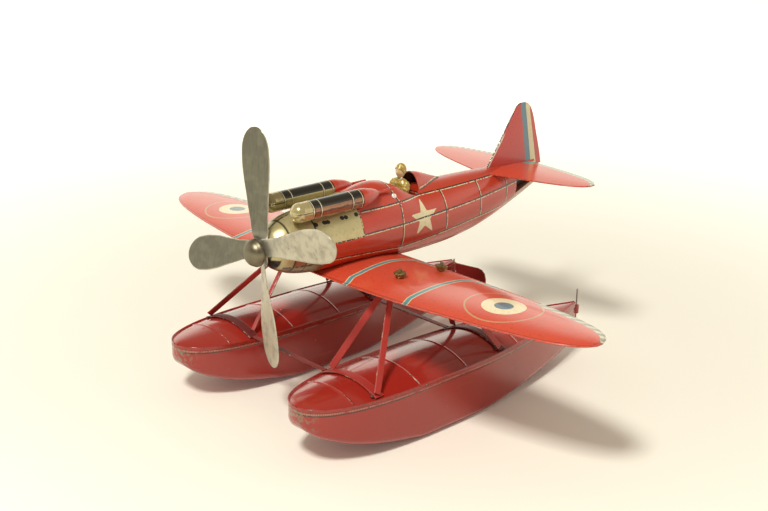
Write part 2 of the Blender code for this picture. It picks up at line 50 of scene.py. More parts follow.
yaw, pitch, roll = (math.radians(turn) for turn in (46.8534, 18.8239, 0.75601))
away = Vector((math.sin(yaw) * math.cos(pitch), -math.cos(yaw) * math.cos(pitch), math.sin(pitch)))
level = Vector((0, 0, 1)).cross(away).normalized()
upright = away.cross(level)
camera_right = level * math.cos(roll) + upright * math.sin(roll)
camera_up = upright * math.cos(roll) - level * math.sin(roll)
camera = bpy.data.objects.new("camera", bpy.data.cameras.new("camera"))
bpy.context.scene.collection.objects.link(camera)
camera.data.lens = 57.506
camera.data.sensor_width = 36.0
camera.data.sensor_fit = "HORIZONTAL"
camera.data.clip_start = 0.02
camera.data.clip_end = 60
for column, direction in enumerate((camera_right, camera_up, away)):
    for row in range(3):
        camera.matrix_world[row][column] = direction[row]
camera.matrix_world.translation = (0.75803888, -0.73123033, 0.46900726)    # metres
bpy.context.scene.camera = camera
bpy.context.scene.view_settings.view_transform = "Standard"


# ---- Studio -----------------------------------------------------------------------------------
# A sheet of pale paper under the toy, one softbox high in front of the nose, and a bright room whose
# light comes mostly from the pale walls.

def fill(made, inputs):
    """Links the inputs that are given as sockets, and sets the others."""
    for name, value in dict(inputs).items():
        if isinstance(value, bpy.types.NodeSocket):
            tree.links.new(value, made.inputs[name])
        else:
            made.inputs[name].default_value = value

def node(kind, inputs=(), **choices):
    """Adds a shader node to the tree that is being made at the time."""
    made = tree.nodes.new(kind)
    for name, value in choices.items():
        setattr(made, name, value)
    fill(made, inputs)
    return made

def number(operation, *values):
    """The result of one Math node."""
    return node("ShaderNodeMath", enumerate(values), operation=operation).outputs[0]

def times(value, factor):
    return number("MULTIPLY", value, factor)

def off(value, place):
    """How far a value lies from a place, to either side."""
    return number("ABSOLUTE", number("SUBTRACT", value, place))

def step(value, low, high):
    """0 where the value is at low, 1 where it is at high, and a soft step in between."""
    return node("ShaderNodeMapRange", {"Value": value, "From Min": low, "From Max": high},
                interpolation_type="SMOOTHSTEP").outputs[0]

def over(share, below, above, blend="MIX"):
    """One colour laid over another by a share."""
    made = node("ShaderNodeMix", {0: share, 6: below, 7: above}, data_type="RGBA", blend_type=blend)
    return made.outputs[2]

def spot(space="Object"):
    """The place that is shaded: metres on the piece, or a direction in the room."""
    return node("ShaderNodeTexCoord").outputs[space]

def spot_height(space="Object"):
    return node("ShaderNodeSeparateXYZ", {0: spot(space)}).outputs[2]

def cloud(fineness, detail=3.0, stretch=(1, 1, 1)):
    """Smooth noise on the piece's own place, from 0 to 1, with so many swells in a metre."""
    place = node("ShaderNodeMapping", {"Vector": spot(), "Scale": stretch}).outputs[0]
    return node("ShaderNodeTexNoise", {"Vector": place, "Scale": fineness, "Detail": detail}).outputs[0]

def new_material(name):
    """A material with nodes; gives the material, its node tree and its shader."""
    material = bpy.data.materials.new(name)
    material.use_nodes = True
    return material, material.node_tree, material.node_tree.nodes["Principled BSDF"]

FLOOR_REACH = 7.0         # metres each way
FLOOR_LINES = 15
FLOOR_HEIGHT = -0.0002    # metres, just clear of the floats
# Painted light: the paper glows a little everywhere, which lifts its shadows, and more with distance from the
# toy, so the floor stays evenly bright far off.
paper, tree, shader = new_material("studio paper")
from_toy = node("ShaderNodeVectorMath", {0: spot()}, operation="LENGTH").outputs["Value"]
fill(shader, {"Base Color": over(cloud(3.0), (0.90, 0.88, 0.785, 1), (0.87, 0.845, 0.745, 1)),
              "Roughness": 0.7, "Specular IOR Level": 0.2, "Emission Color": (1.0, 0.99, 0.93, 1),
              "Emission Strength": number("MULTIPLY_ADD", step(from_toy, 0.20, 1.3), 0.72, 0.05)})
floor_mesh = bpy.data.meshes.new("floor")
reach = np.linspace(-FLOOR_REACH, FLOOR_REACH, FLOOR_LINES)
across, along = np.meshgrid(reach, reach, indexing="ij")
corners = np.stack([across, along, np.full_like(across, FLOOR_HEIGHT)], -1).reshape(-1, 3)
tile = np.arange(FLOOR_LINES - 1)
first = (tile[:, None] * FLOOR_LINES + tile[None, :]).reshape(-1)
tiles = np.stack([first, first + FLOOR_LINES, first + FLOOR_LINES + 1, first + 1], 1)
floor_mesh.from_pydata(corners, [], tiles.tolist())
floor_mesh.materials.append(paper)
floor = bpy.data.objects.new("floor", floor_mesh)
bpy.context.scene.collection.objects.link(floor)

SOFTBOX_PLACE = Vector((0.45, -1.16, 1.80))    # metres
softbox = bpy.data.lights.new("softbox", "AREA")
softbox.shape = "SQUARE"
softbox.size = 0.38
softbox.energy = 37
softbox.color = (1.0, 0.97, 0.91)
lamp = bpy.data.objects.new("softbox", softbox)
lamp.location = SOFTBOX_PLACE
lamp.rotation_euler = (Vector((0, 0, 0.1)) - SOFTBOX_PLACE).to_track_quat("-Z", "Y").to_euler()
bpy.context.scene.collection.objects.link(lamp)

DARK_WALL = (0.20, 0.175, 0.14, 1)
PALE_WALL = (1.25, 1.19, 1.03, 1)
CEILING = (0.30, 0.26, 0.20, 1)
SKIRTING = (0.88, 0.84, 0.74, 1)
world = bpy.data.worlds.new("pale room")
bpy.context.scene.world = world
world.use_nodes = True
tree = world.node_tree
climb = spot_height("Generated")
backwards = node("ShaderNodeVectorMath", {0: spot("Generated"), 1: (-0.73, 0.68, 0)},
                 operation="DOT_PRODUCT").outputs["Value"]
walls = over(step(backwards, -0.5, 0.2), DARK_WALL, PALE_WALL)
walls = over(step(climb, 0.30, 0.70), walls, CEILING)
walls = over(step(climb, 0.14, 0.06), walls, SKIRTING)
fill(tree.nodes["Background"], {"Color": walls, "Strength": 1.17})


# ---- Fuselage ---------------------------------------------------------------------------------
# The body is two pressed halves of printed tin, oval in section, folded together along the top and the
# bottom. The nose cowl is a separate pressing with a thin seam behind it. The body sits over the wing,
# has a drop-shaped cockpit opening, and is open on both sides under the tail.

MIDDLE_STATION = 159.0    # of the model's box
BODY = [                  # station, half width, bottom, middle, top
    (4.5, 10.5, 138.5, 149.0, 160.5),
    (9.0, 15.0, 133.5, 149.5, 166.0),
    (17.0, 20.0, 128.5, 150.0, 171.0),
    (28.0, 23.5, 124.5, 149.5, 174.5),
    (42.0, 25.5, 122.0, 149.0, 176.5),
    (65.0, 26.8, 119.8, 148.0, 179.0),
    (93.0, 27.5, 117.8, 146.5, 183.5),
    (120.0, 27.5, 116.2, 145.5, 187.0),
    (137.0, 27.5, 115.2, 145.0, 184.5),
    (166.0, 27.2, 114.2, 145.0, 175.0),
    (200.0, 26.0, 114.8, 145.5, 175.5),
    (235.0, 23.0, 118.2, 147.0, 175.0),
    (262.0, 19.5, 123.5, 149.0, 174.0),
    (290.0, 14.6, 131.2, 152.0, 172.6),
    (315.0, 9.6, 138.6, 156.5, 172.0),
    (327.0, 7.2, 142.6, 158.5, 172.0),
    (337.0, 5.0, 146.2, 160.0, 172.0),
]
COWL_SEAM = 42.0
BODY_GAP = 0.3            # clearance over the wing, and of the cowl's seam
WING_ROOT = (50.0, 139.6)    # stations of the wing's edges under the body
COCKPIT = [               # half width, station
    (0.0, 131.8), (2.5, 132.2), (4.8, 133.6), (7.0, 136.3), (9.3, 140.5), (12.4, 145.1),
    (14.6, 150.5), (15.6, 156.0), (15.3, 161.5), (13.5, 165.8), (10.5, 168.2), (0.0, 168.2)]
TAIL_OPENING = [(300.0, 145.5), (300.0, 170.0), (345.0, 170.0), (345.0, 157.0), (329.0, 151.5)]
KEY_STATION, KEY_HEIGHT, KEY_RADIUS = 80, 149, 3.2
SIDES = {"port": 1, "starboard": -1}

def unit(values):
    """Values held between 0 and 1."""
    return np.clip(values, 0, 1)

def fair(table, at, column):
    """Reads a column of a table along a fair curve through its rows: cubic pieces that never overshoot,
    whose slope at a row is the harmonic mean of the slopes beside it."""
    table = np.asarray(table, float)
    x, y = table[:, 0], table[:, column]
    run = np.diff(x)
    pitch = np.diff(y) / run
    before, after = pitch[:-1], pitch[1:]
    weights = 2 * run[1:] + run[:-1], run[1:] + 2 * run[:-1]
    same = before * after > 0
    safe = np.where(same, before, 1.0), np.where(same, after, 1.0)
    mean = sum(weights) / (weights[0] / safe[0] + weights[1] / safe[1])
    slope = np.concatenate([pitch[:1], np.where(same, mean, 0.0), pitch[-1:]])
    at = np.asarray(at, float)
    i = np.clip(np.searchsorted(x, at) - 1, 0, len(run) - 1)
    t = unit((at - x[i]) / run[i])
    return (y[i] * (1 + 2 * t) * (1 - t) ** 2 + y[i + 1] * t * t * (3 - 2 * t)
            + run[i] * (slope[i] * t * (1 - t) ** 2 - slope[i + 1] * t * t * (1 - t)))

def points(x, station, height):
    """Places in metres from millimetres across, aft of the propeller and above the floor."""
    return np.stack(np.broadcast_arrays(x, np.asarray(station, float) - MIDDLE_STATION, height), -1) / 1000

def turns(count):
    """Bearings all round a circle, for one row of a grid."""
    return np.linspace(0, 2 * math.pi, count, endpoint=False)[None, :]

def soften(mesh):
    """Shades a mesh smooth, but for edges sharper than 38 degrees."""
    mesh.shade_smooth()
    mesh.set_sharp_from_angle(angle=math.radians(38))

def skin(name, grid):
    """Closes a grid of points into one body: rows along it, columns round it, and a fan over each end. The
    sign of the volume tells whether its faces point outwards."""
    rows, columns = grid.shape[:2]
    corners = np.concatenate([grid.reshape(-1, 3), grid[:1].mean(1), grid[-1:].mean(1)])
    row, column = np.meshgrid(np.arange(rows - 1) * columns, np.arange(columns), indexing="ij")
    beside = (column + 1) % columns
    quads = np.stack([row + column, row + beside, row + columns + beside, row + columns + column], -1)
    ring = np.arange(columns)
    last = (rows - 1) * columns
    start = np.stack([np.roll(ring, -1), ring, np.full(columns, rows * columns)], 1)
    end = np.stack([last + ring, last + np.roll(ring, -1), np.full(columns, rows * columns + 1)], 1)
    quads = quads.reshape(-1, 4)
    a, b, c, d = np.moveaxis(corners[quads], 1, 0)
    e, f, g = np.moveaxis(corners[np.concatenate([start, end])], 1, 0)
    volume = np.sum(a * np.cross(b, c)) + np.sum(a * np.cross(c, d)) + np.sum(e * np.cross(f, g))
    faces = [*quads.tolist(), *start.tolist(), *end.tolist()]
    if volume < 0:
        faces = [face[::-1] for face in faces]
    mesh = bpy.data.meshes.new(name)
    mesh.from_pydata(corners, [], faces)
    soften(mesh)
    piece = bpy.data.objects.new(name, mesh)
    bpy.context.scene.collection.objects.link(piece)
    return piece

def cut(piece, *tools):
    """Takes the tools' bodies out of a piece, for good."""
    for tool in tools:
        change = piece.modifiers.new("cut", "BOOLEAN")
        change.operation = "DIFFERENCE"
        change.solver = "EXACT"
        change.object = tool
    finished = bpy.data.meshes.new_from_object(piece.evaluated_get(bpy.context.evaluated_depsgraph_get()))
    piece.modifiers.clear()
    piece.data = finished
    soften(finished)
    for tool in tools:
        bpy.data.objects.remove(tool, do_unlink=True)

def places(piece):
    """A piece's vertices as x, station and height."""
    corners = np.empty(len(piece.data.vertices) * 3, np.float32)
    piece.data.vertices.foreach_get("co", corners)
    x, y, z = corners.reshape(-1, 3).T * 1000.0
    return x, y + MIDDLE_STATION, z

def mark(piece, **marks):
    """Writes numbers at each vertex, which a material reads by their names."""
    for name, values in marks.items():
        values = np.full(len(piece.data.vertices), values, np.float32)
        piece.data.attributes.new(name, "FLOAT", "POINT").data.foreach_set("value", values)

def marked(name):
    return node("ShaderNodeAttribute", attribute_name=name).outputs["Fac"]

def finish_piece(piece, material, slot, *nodes, body="airframe"):
    """Gives a piece its material and its body, and hides the solids that it stands for. The slot is not used.
    """
    piece.data.materials.clear()
    piece.data.materials.append(material)
    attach(piece, body)
    if nodes:
        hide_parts(*nodes)

def body_section(station, angle):
    """A point of the body: width times the sine of the angle, and the middle height plus the rise to the
    top or the fall to the bottom times its cosine."""
    width, bottom, middle, top = (fair(BODY, station, column) for column in (1, 2, 3, 4))
    up = np.cos(angle)
    return width * np.sin(angle), middle + np.where(up > 0, top - middle, middle - bottom) * up

WING = [                  # distance from the middle, leading edge, trailing edge, crown, belly
    (0.0, 50.0, 139.5, 5.0, 2.2),
    (30.0, 50.0, 140.0, 5.0, 2.2),
    (76.0, 52.5, 140.5, 5.0, 2.2),
    (115.0, 56.0, 140.5, 4.8, 2.0),
    (152.0, 61.5, 140.0, 4.5, 1.8),
    (182.0, 67.0, 139.0, 4.1, 1.6),
    (212.0, 74.0, 137.0, 3.6, 1.3),
    (236.0, 81.5, 133.0, 2.9, 1.0),
    (252.0, 89.5, 127.0, 2.0, 0.6),
    (260.5, 97.5, 119.5, 1.0, 0.3),
    (264.0, 104.0, 111.5, 0.4, 0.1),
]
WING_TIP = 264.0
WING_SEAM = 121.0
SEAM_HALF = 0.6           # half the height of the folded seam

def camber(share):
    """The wing's arch over its chord, from 0 at the edges to 1."""
    return 1 - np.abs(2 * share ** 0.86 - 1) ** 2.3

def wing_top(distance, station):
    """Height of the wing's upper skin: a cambered curve over the chord, above the folded seam."""
    front, back, crown = (fair(WING, distance, column) for column in (1, 2, 3))
    return WING_SEAM + SEAM_HALF + crown * camber(unit((station - front) / (back - front)))

def cutter(name, x, outline):
    """A cutter across the body: the outline (station, height) at two distances from the middle."""
    station, height = np.asarray(outline, float).T
    return skin(name, np.stack([points(np.full(len(station), far), station, height) for far in x]))

def body_shell(name, first_station, last_station, pitch):
    """The body between two stations; over the wing's chord its underside follows the wing."""
    front, back = WING_ROOT[0] - BODY_GAP, WING_ROOT[1] + BODY_GAP
    rows = list(np.linspace(first_station, last_station, int((last_station - first_station) / pitch) + 1))
    rows += [s for s in (front - 0.05, front, back, back + 0.05) if first_station < s < last_station]
    station, angle = np.meshgrid(np.unique(rows), turns(144), indexing="ij")
    x, z = body_section(station, angle)
    bed = (station >= front) & (station <= back)
    z = np.where(bed, np.maximum(z, wing_top(np.abs(x), station) + BODY_GAP), z)
    return skin(name, points(x, station, z))

fuselage = body_shell("fuselage_shell", COWL_SEAM + BODY_GAP, BODY[-1][0], 1.5)
x, station = np.array(COCKPIT).T
rim_run = np.linspace(0, len(COCKPIT) - 1, 61)
half = np.stack([np.interp(rim_run, np.arange(len(x)), side) for side in (x, station)], 1)
opening = np.concatenate([half, half[-2:0:-1] * (-1, 1)])
well = skin("cut_well", np.stack([points(*opening.T, np.full(len(opening), z)) for z in (160.0, 200.0)]))
around = turns(24)[0]
key_hole = cutter("cut_key_hole", (-40.0, -15.3), np.stack([
    KEY_STATION + KEY_RADIUS * np.cos(around), KEY_HEIGHT + KEY_RADIUS * np.sin(around)], 1))
tail_openings = [cutter(f"cut_tail_{sign}", (sign * 1.2, sign * 30.0), TAIL_OPENING)
                 for sign in SIDES.values()]
cut(fuselage, well, key_hole, *tail_openings)
cowl = body_shell("cowl_shell", BODY[0][0], COWL_SEAM, 0.8)

def away_from(u, v, line):
    """Distance from points in a plane to a line of straight runs, positive on its left."""
    best = np.full(u.shape, 1e6)
    for (u0, v0), (u1, v1) in zip(line, line[1:]):
        du, dv = u1 - u0, v1 - v0
        t = unit(((u - u0) * du + (v - v0) * dv) / (du * du + dv * dv))
        gap = np.hypot(u - u0 - t * du, v - v0 - t * dv)
        side = np.where(du * (v - v0) - dv * (u - u0) >= 0, 1.0, -1.0)
        best = np.where(gap < np.abs(best), side * gap, best)
    return best

LONG_LINES = [            # panel lines along the body, as runs of (station, height)
    [(89.5, 170.0), (133.0, 170.0), (190.0, 170.0), (300.0, 169.5)],
    [(90.5, 151.0), (136.0, 151.2), (189.0, 153.2), (239.0, 155.0), (308.0, 158.6)],
    [(50.0, 135.6), (93.0, 133.4), (139.0, 129.4), (191.0, 133.6), (233.0, 136.9), (276.0, 138.5),
     (300.0, 143.0)],
]
CROSS_LINES = [           # station, lowest and highest point
    (135.5, 129.7, 170.0), (190.5, 133.6, 170.0), (239.5, 137.0, 170.0), (282.0, 139.4, 170.0)]
COAMING = [(170, 176, 186), (135.5, 132.2, 130.6)]    # heights, stations
LINE_COUNT = len(LONG_LINES) + len(CROSS_LINES) + 1
SLOT_DOTS = [(43.4, 167.5), (51.9, 167.8), (55.6, 167.7), (70.4, 168.4), (74.4, 168.3), (85.3, 168.7)]
SMALL_DOTS = [(78.0, 160.8), (78.5, 157.2), (79.0, 158.8), (17.5, 165.4), (18.0, 162.6)]
NO_MARK = 99.0
GOLD_LEVEL = 149.3        # the gold reaches further aft above this height
GOLD_REAR = [(GOLD_LEVEL, 183.0), (90.5, 88.0)]          # heights, stations
GOLD_LOW_REAR = [(118.0, GOLD_LEVEL), (47.0, 58.0)]
COPPER_PANEL = (21.0, 31.5, 134.5, 142.5)                # first and last station, lowest and highest point
NOSE_MOUTH = 10.5
COWL_LINES = [            # station, lowest and highest point
    (17.8, 163.5, 999), (21.0, 0, 142.5), (31.5, 0, 142.5), (41.6, 143, 999)]
COWL_SILLS = [(134.6, 14), (142.6, 20)]                  # height, first station
STAR_MIDDLE = (162.0, 151.5)
STAR_REACH = 6.4
TAIL_FLOOR = 299.0        # the open tail starts here

def print_body(piece):
    """Marks the printed design: signed distances to the panel lines, the gold cowl and its dots, and a
    star. Distances are taken along the surface, by the slope that the normal shows."""
    x, station, z = places(piece)
    normals = np.empty(len(x) * 3, np.float32)
    piece.data.vertex_normals.foreach_get("vector", normals)
    run, rise = np.sqrt(np.clip(1 - normals.reshape(-1, 3)[:, 1:] ** 2, 0.02, 1)).T
    gaps = []
    for line in LONG_LINES:
        s, h = np.array(line).T
        gaps.append(((np.interp(station, s, h) - z) / rise, (station < s[0] - 0.3) | (station > s[-1])))
    for s, low, high in CROSS_LINES:
        gaps.append(((station - s) / run, (z < low) | (z > high + 0.4)))
    gaps.append(((station - np.interp(z, *COAMING)) / run, (z < 170) | (z > 190)))
    for count, (gap, past_end) in enumerate(gaps):
        mark(piece, **{f"line_{count}": np.where(past_end, np.copysign(NO_MARK, gap), gap)})
    upper_part = np.minimum(np.interp(z, *GOLD_REAR) - station, (z - GOLD_LEVEL) / rise)
    fore, rear, sill, lintel = COPPER_PANEL
    copper = (station > fore) & (station < rear) & (z > sill) & (z < lintel)
    mouth = (station < NOSE_MOUTH) & (z < lintel)
    seams = [np.abs(station - s) + 9 * ((z < low) | (z > high)) for s, low, high in COWL_LINES]
    seams += [np.abs(z - h) + 9 * (station < first) for h, first in COWL_SILLS]
    dots = [np.hypot((station - s) * 0.9, (z - h) / rise) - 1.95 for s, h in SLOT_DOTS]
    dots += [np.hypot(station - s, (z - h) / rise) - 0.55 for s, h in SMALL_DOTS]
    aft, up = station - STAR_MIDDLE[0], z - STAR_MIDDLE[1]
    turn = np.arctan2(up, aft) - math.pi / 2
    fifth = np.abs((turn / (2 * math.pi) * 5 + 0.5) % 1 - 0.5) * 2 * math.pi / 5
    # The web deep inside the open tail is marked for near black: painted shade in the recess.
    hollow = (station > TAIL_FLOOR) & (z > 144) & (np.abs(x) < 1.6)
    mark(piece, gold=np.maximum(upper_part, np.interp(z, *GOLD_LOW_REAR) - station),
         gold_panel=np.where((z < sill) & (station > COWL_SILLS[0][1]), 0.0, 9.0),
         copper=np.where(copper, 1.0, -1.0),
         outline=np.where(mouth, 1.0, unit((0.75 - np.min(seams, axis=0)) / 0.25)),
         tan=np.where((station > TAIL_FLOOR) & (z < 146.0 + 0.28 * (station - 300.0)), 1.0, 0.0),
         dots=np.minimum(np.min(dots, axis=0), NO_MARK),
         star=STAR_REACH - np.hypot(aft, up) * np.cos(math.pi / 5 * 2 - fifth) * 1.18,
         fold=np.abs(x), hollow=hollow)

for piece in (fuselage, cowl):
    print_body(piece)

def lacquer(colour, wear=0.0, dull=0.0, metal=0.0, coat=0.5):
    """Old gloss lacquer on printed tin: a patchy tone, fine dirt, hairline scratches and small chips. Where
    wear nears 1, as on folded edges, the tin shows; metal is the share of bright tin that a clear print
    lets through."""
    patchy = cloud(16, 4)
    dirt = cloud(420, 2)
    tone = over(times(patchy, 0.45), colour, over(1.0, colour, (0.72, 0.62, 0.55, 1), "MULTIPLY"))
    tone = over(times(step(dirt, 0.5, 0.75), 0.20), tone, (0.06, 0.035, 0.02, 1))
    streaks = step(cloud(240, 2, (1, 0.05, 0.6)), 0.66, 0.74)
    tone = over(times(streaks, 0.02), tone, (0.80, 0.62, 0.50, 1))
    ragged = number("ADD", wear, times(number("SUBTRACT", cloud(330, 4), 0.5), 1.3))
    chips = times(step(cloud(150, 5), 0.735, 0.765), step(patchy, 0.5, 0.6))
    bare = number("MAXIMUM", step(ragged, 0.88, 1.0), chips)
    tone = over(times(step(ragged, 0.55, 0.88), 0.55), tone, (0.05, 0.025, 0.015, 1))
    rough = number("MULTIPLY_ADD", dirt, 0.12, number("ADD", dull, 0.15))
    swell = node("ShaderNodeBump", {"Height": cloud(11, 1), "Distance": 0.0009, "Strength": 1.0})
    grain = node("ShaderNodeBump", {"Height": number("SUBTRACT", dirt, bare), "Distance": 0.000012,
                                    "Strength": 1.0, "Normal": swell.outputs[0]})
    fill(shader, {"Base Color": over(bare, tone, (0.60, 0.55, 0.43, 1)),
                  "Roughness": number("MULTIPLY_ADD", bare, 0.18, rough),
                  "Metallic": number("MAXIMUM", times(bare, 0.7), metal),
                  "Normal": grain.outputs[0], "Coat Weight": coat, "Coat Roughness": 0.05})

def polish(tone, metal, rough, uneven=0.0, fineness=300):
    """Bare metal or plain paint: a tone, a share of metal, and a roughness that rises unevenly."""
    fill(shader, {"Base Color": tone, "Metallic": metal,
                  "Roughness": number("MULTIPLY_ADD", cloud(fineness, 2), uneven, rough)})

BODY_RED = (0.50, 0.038, 0.013, 1)
CREAM = (0.74, 0.66, 0.40, 1)
PRINT_BLACK = (0.022, 0.018, 0.014, 1)
body_print, tree, shader = new_material("body print")
cream_line = black_line = 0.0
for count in range(LINE_COUNT):
    gap = marked(f"line_{count}")
    cream_line = number("MAXIMUM", step(off(gap, 1.12), 0.52, 0.34), cream_line)
    black_line = number("MAXIMUM", step(number("ABSOLUTE", gap), 0.82, 0.58), black_line)
dash = cloud(520, 1)
cream_line = times(cream_line, step(dash, 0.36, 0.46))
black_line = times(black_line, step(dash, 0.70, 0.60))
gold = marked("gold")
in_gold = step(gold, -0.1, 0.1)
gold_tone = over(cloud(45, 3), (0.61, 0.55, 0.30, 1), (0.48, 0.42, 0.20, 1))
gold_tone = over(step(marked("gold_panel"), 1.5, 1.0), gold_tone, (0.30, 0.20, 0.10, 1))
gold_tone = over(step(marked("copper"), -0.3, 0.3), gold_tone, (0.46, 0.20, 0.10, 1))
border = times(step(off(gold, 0.55), 0.62, 0.45), step(cloud(600, 1), 0.40, 0.50))
gold_tone = over(number("MAXIMUM", border, marked("outline")), gold_tone, PRINT_BLACK)
gold_tone = over(step(marked("dots"), 0.2, -0.2), gold_tone, PRINT_BLACK)
tone = over(step(marked("star"), -0.15, 0.15), BODY_RED, CREAM)
tone = over(cream_line, tone, CREAM)
tone = over(black_line, tone, PRINT_BLACK)
tone = over(marked("tan"), tone, (0.38, 0.20, 0.12, 1))
tone = over(in_gold, tone, gold_tone)
# Painted shade: near black inside the open tail and inside the headrest's mouth.
tone = over(marked("hollow"), tone, (0.05, 0.03, 0.025, 1))
fold = step(marked("fold"), 1.2, 0.7)
spine_wear = times(fold, step(cloud(300, 2), 0.62, 0.50))
tone = over(times(spine_wear, 0.9), tone, PRINT_BLACK)
lacquer(tone, wear=times(fold, 0.25), metal=times(in_gold, 0.6), coat=0.35,
        dull=number("MULTIPLY_ADD", in_gold, 0.10, 0.02))
finish_piece(fuselage, body_print, "red_body_enamel", "fuselage")
finish_piece(cowl, body_print, "gold_print", "nose_cowl")


# ---- Wing -------------------------------------------------------------------------------------
# One pair of printed pressings from tip to tip, folded together round the edge. The upper skin carries
# two blue bands with cream edges and a roundel on each side, and a row of pale dashes along each outer
# trailing edge.

INNER_BAND = [            # distance from the middle, station
    (46.8, 50.0), (46.8, 54.0), (43.7, 61.0), (43.4, 71.0), (40.3, 90.0), (37.9, 110.0), (38.4, 124.0),
    (43.3, 135.0), (57.7, 138.2), (71.4, 139.0)]
OUTER_BAND = [
    (113.5, 52.0), (112.0, 56.0), (109.7, 64.0), (109.6, 80.0), (108.6, 99.0), (108.8, 124.0),
    (111.5, 132.0), (119.0, 136.0), (136.0, 138.5)]
BETWEEN_BANDS = 76
ROUNDEL_MIDDLE = (173.0, 104.5)
ROUNDEL_RADII = (30.8, 17.9, 7.9)    # thin outer ring, cream disc, blue eye
WING_FOLD = 1.5

def chord(front, back, columns, fold):
    """Stations across a pressing, packed towards its edges; the share of the way between its folded rims;
    and how far the rolled edge drops, as one less the height of a quarter circle."""
    share = (1 - np.cos(np.linspace(0, math.pi, columns))) / 2
    rim = np.minimum(fold, 0.2 * (back - front))
    station = front + share[None, :] * (back - front)
    inner = unit((station - front - rim) / (back - front - 2 * rim))
    edge = np.minimum(station - front, back - station)
    return station, inner, 1 - np.sqrt(unit(1 - unit(1 - edge / SEAM_HALF) ** 2))

def both_faces(upper, lower):
    """Joins an upper and a lower grid into columns that run round the piece."""
    return np.concatenate([upper, lower[:, -2:0:-1]], 1)

def wing_surface(rows, columns):
    """A wing section at each distance: a flat folded rim, the cambered top, the rim again and the shallow
    belly."""
    distance = WING_TIP * np.sin(np.linspace(-1, 1, rows) * math.pi / 2 * 0.999)
    distance[0], distance[-1] = -WING_TIP, WING_TIP
    front, back, crown, belly = (fair(WING, np.abs(distance), column)[:, None] for column in (1, 2, 3, 4))
    station, inner, drop = chord(front, back, columns, WING_FOLD)
    top = WING_SEAM + SEAM_HALF + crown * camber(inner) - SEAM_HALF * drop
    bottom = WING_SEAM - SEAM_HALF - belly * np.sin(math.pi * inner) + SEAM_HALF * drop
    return both_faces(points(distance[:, None], station, top), points(distance[:, None], station, bottom))

wing = skin("wing_skin", wing_surface(361, 72))
x, station, z = places(wing)
far = np.abs(x)
front, back = fair(WING, far, 1), fair(WING, far, 2)
edge = np.minimum(station - front, back - station)
trailing_edge = [(row[0], row[2]) for row in WING if row[0] > 140]
hatched = np.abs(away_from(far, station, trailing_edge)) / np.clip((station - 103) / 26, 0.05, 1)
outer_rear = (far > 183) & (station > 0.5 * (front + back))
band_edges = [away_from(far, station, line) for line in (INNER_BAND, OUTER_BAND)]
mark(wing, band=np.abs(np.where(far < BETWEEN_BANDS, *band_edges)),
     roundel=np.hypot(far - ROUNDEL_MIDDLE[0], station - ROUNDEL_MIDDLE[1]),
     rim=np.minimum(edge, np.where(far > 255, (WING_TIP - far) * 1.2, NO_MARK)),
     upper=z > WING_SEAM,
     hatched=np.where(outer_rear, hatched, NO_MARK),
     slant=0.73 * far - 0.684 * station)

WING_RED = (0.66, 0.078, 0.038, 1)
BAND_BLUE = (0.10, 0.30, 0.34, 1)
wing_print, tree, shader = new_material("wing print")
band = marked("band")
tone = over(step(band, 2.75, 2.55), WING_RED, CREAM)
tone = over(step(band, 1.85, 1.65), tone, BAND_BLUE)
roundel = marked("roundel")
ring, disc, eye = ROUNDEL_RADII
tone = over(times(step(off(roundel, ring), 0.85, 0.6), 0.8), tone, (0.50, 0.40, 0.20, 1))
tone = over(step(roundel, disc, disc - 0.4), tone, (0.84, 0.74, 0.46, 1))
tone = over(step(roundel, eye, eye - 0.4), tone, (0.075, 0.16, 0.22, 1))
stripes = step(number("SINE", times(marked("slant"), 0.66)), -0.25, 0.25)
hatch = over(stripes, (0.24, 0.30, 0.22, 1), (0.66, 0.62, 0.42, 1))
tone = over(step(marked("hatched"), 8.6, 8.2), tone, hatch)
tone = over(step(marked("upper"), 0.45, 0.55), (0.50, 0.045, 0.028, 1), tone)
rim = marked("rim")
tone = over(times(step(off(rim, 1.9), 0.7, 0.2), 0.45), tone, (0.10, 0.012, 0.008, 1))
lacquer(tone, wear=times(step(rim, 1.7, 0.2), 0.66), coat=0.35)
finish_piece(wing, wing_print, "red_wing_enamel", "wing")


# ---- Tailplane and fin ------------------------------------------------------------------------
# Thin folded pressings let into the top of the body's end. The tailplane has pale dashes along its
# trailing edge; the fin carries a blue, a cream and a red band, and its leading edge is a bare fold.

TAIL = [                  # distance from the middle, leading edge, trailing edge, half thickness
    (3.0, 262.0, 331.0, 2.4),
    (20.0, 267.0, 330.0, 2.3),
    (50.0, 275.5, 327.0, 1.9),
    (78.0, 285.5, 322.0, 1.4),
    (93.0, 294.5, 315.0, 0.9),
    (98.0, 301.0, 309.5, 0.6),
]
FIN = [                   # height, leading edge, trailing edge, half thickness
    (166.0, 264.5, 349.0, 2.8),
    (175.0, 271.0, 347.0, 2.6),
    (198.0, 288.0, 340.0, 2.0),
    (220.0, 303.5, 332.5, 1.3),
    (228.0, 310.0, 326.5, 0.9),
    (230.0, 314.0, 321.5, 0.7),
]
TAIL_HEIGHT = 170.0
TAIL_FOLD = 1.2
FIN_BANDS = {             # heights and stations of the line where each colour begins
    "blue_from": ([173.0, 226.0], [323.7, 314.8]),
    "cream_from": ([172.0, 225.0], [331.4, 321.9]),
    "red_from": ([169.5, 220.6], [340.2, 328.5]),
}

def plate_surface(table, rows, columns, place):
    """A thin plate with a folded rim: at each row the half thickness swells as a sine between the rims."""
    root, tip = table[0][0], table[-1][0]
    reach = tip - (tip - root) * ((tip - np.linspace(root, tip, rows)) / (tip - root)) ** 1.5
    front, back, thick = (fair(table, reach, column)[:, None] for column in (1, 2, 3))
    station, inner, drop = chord(front, back, columns, TAIL_FOLD)
    offset = SEAM_HALF + (thick - SEAM_HALF) * np.sin(math.pi * inner) - SEAM_HALF * drop
    return both_faces(place(reach[:, None], station, offset), place(reach[:, None], station, -offset))

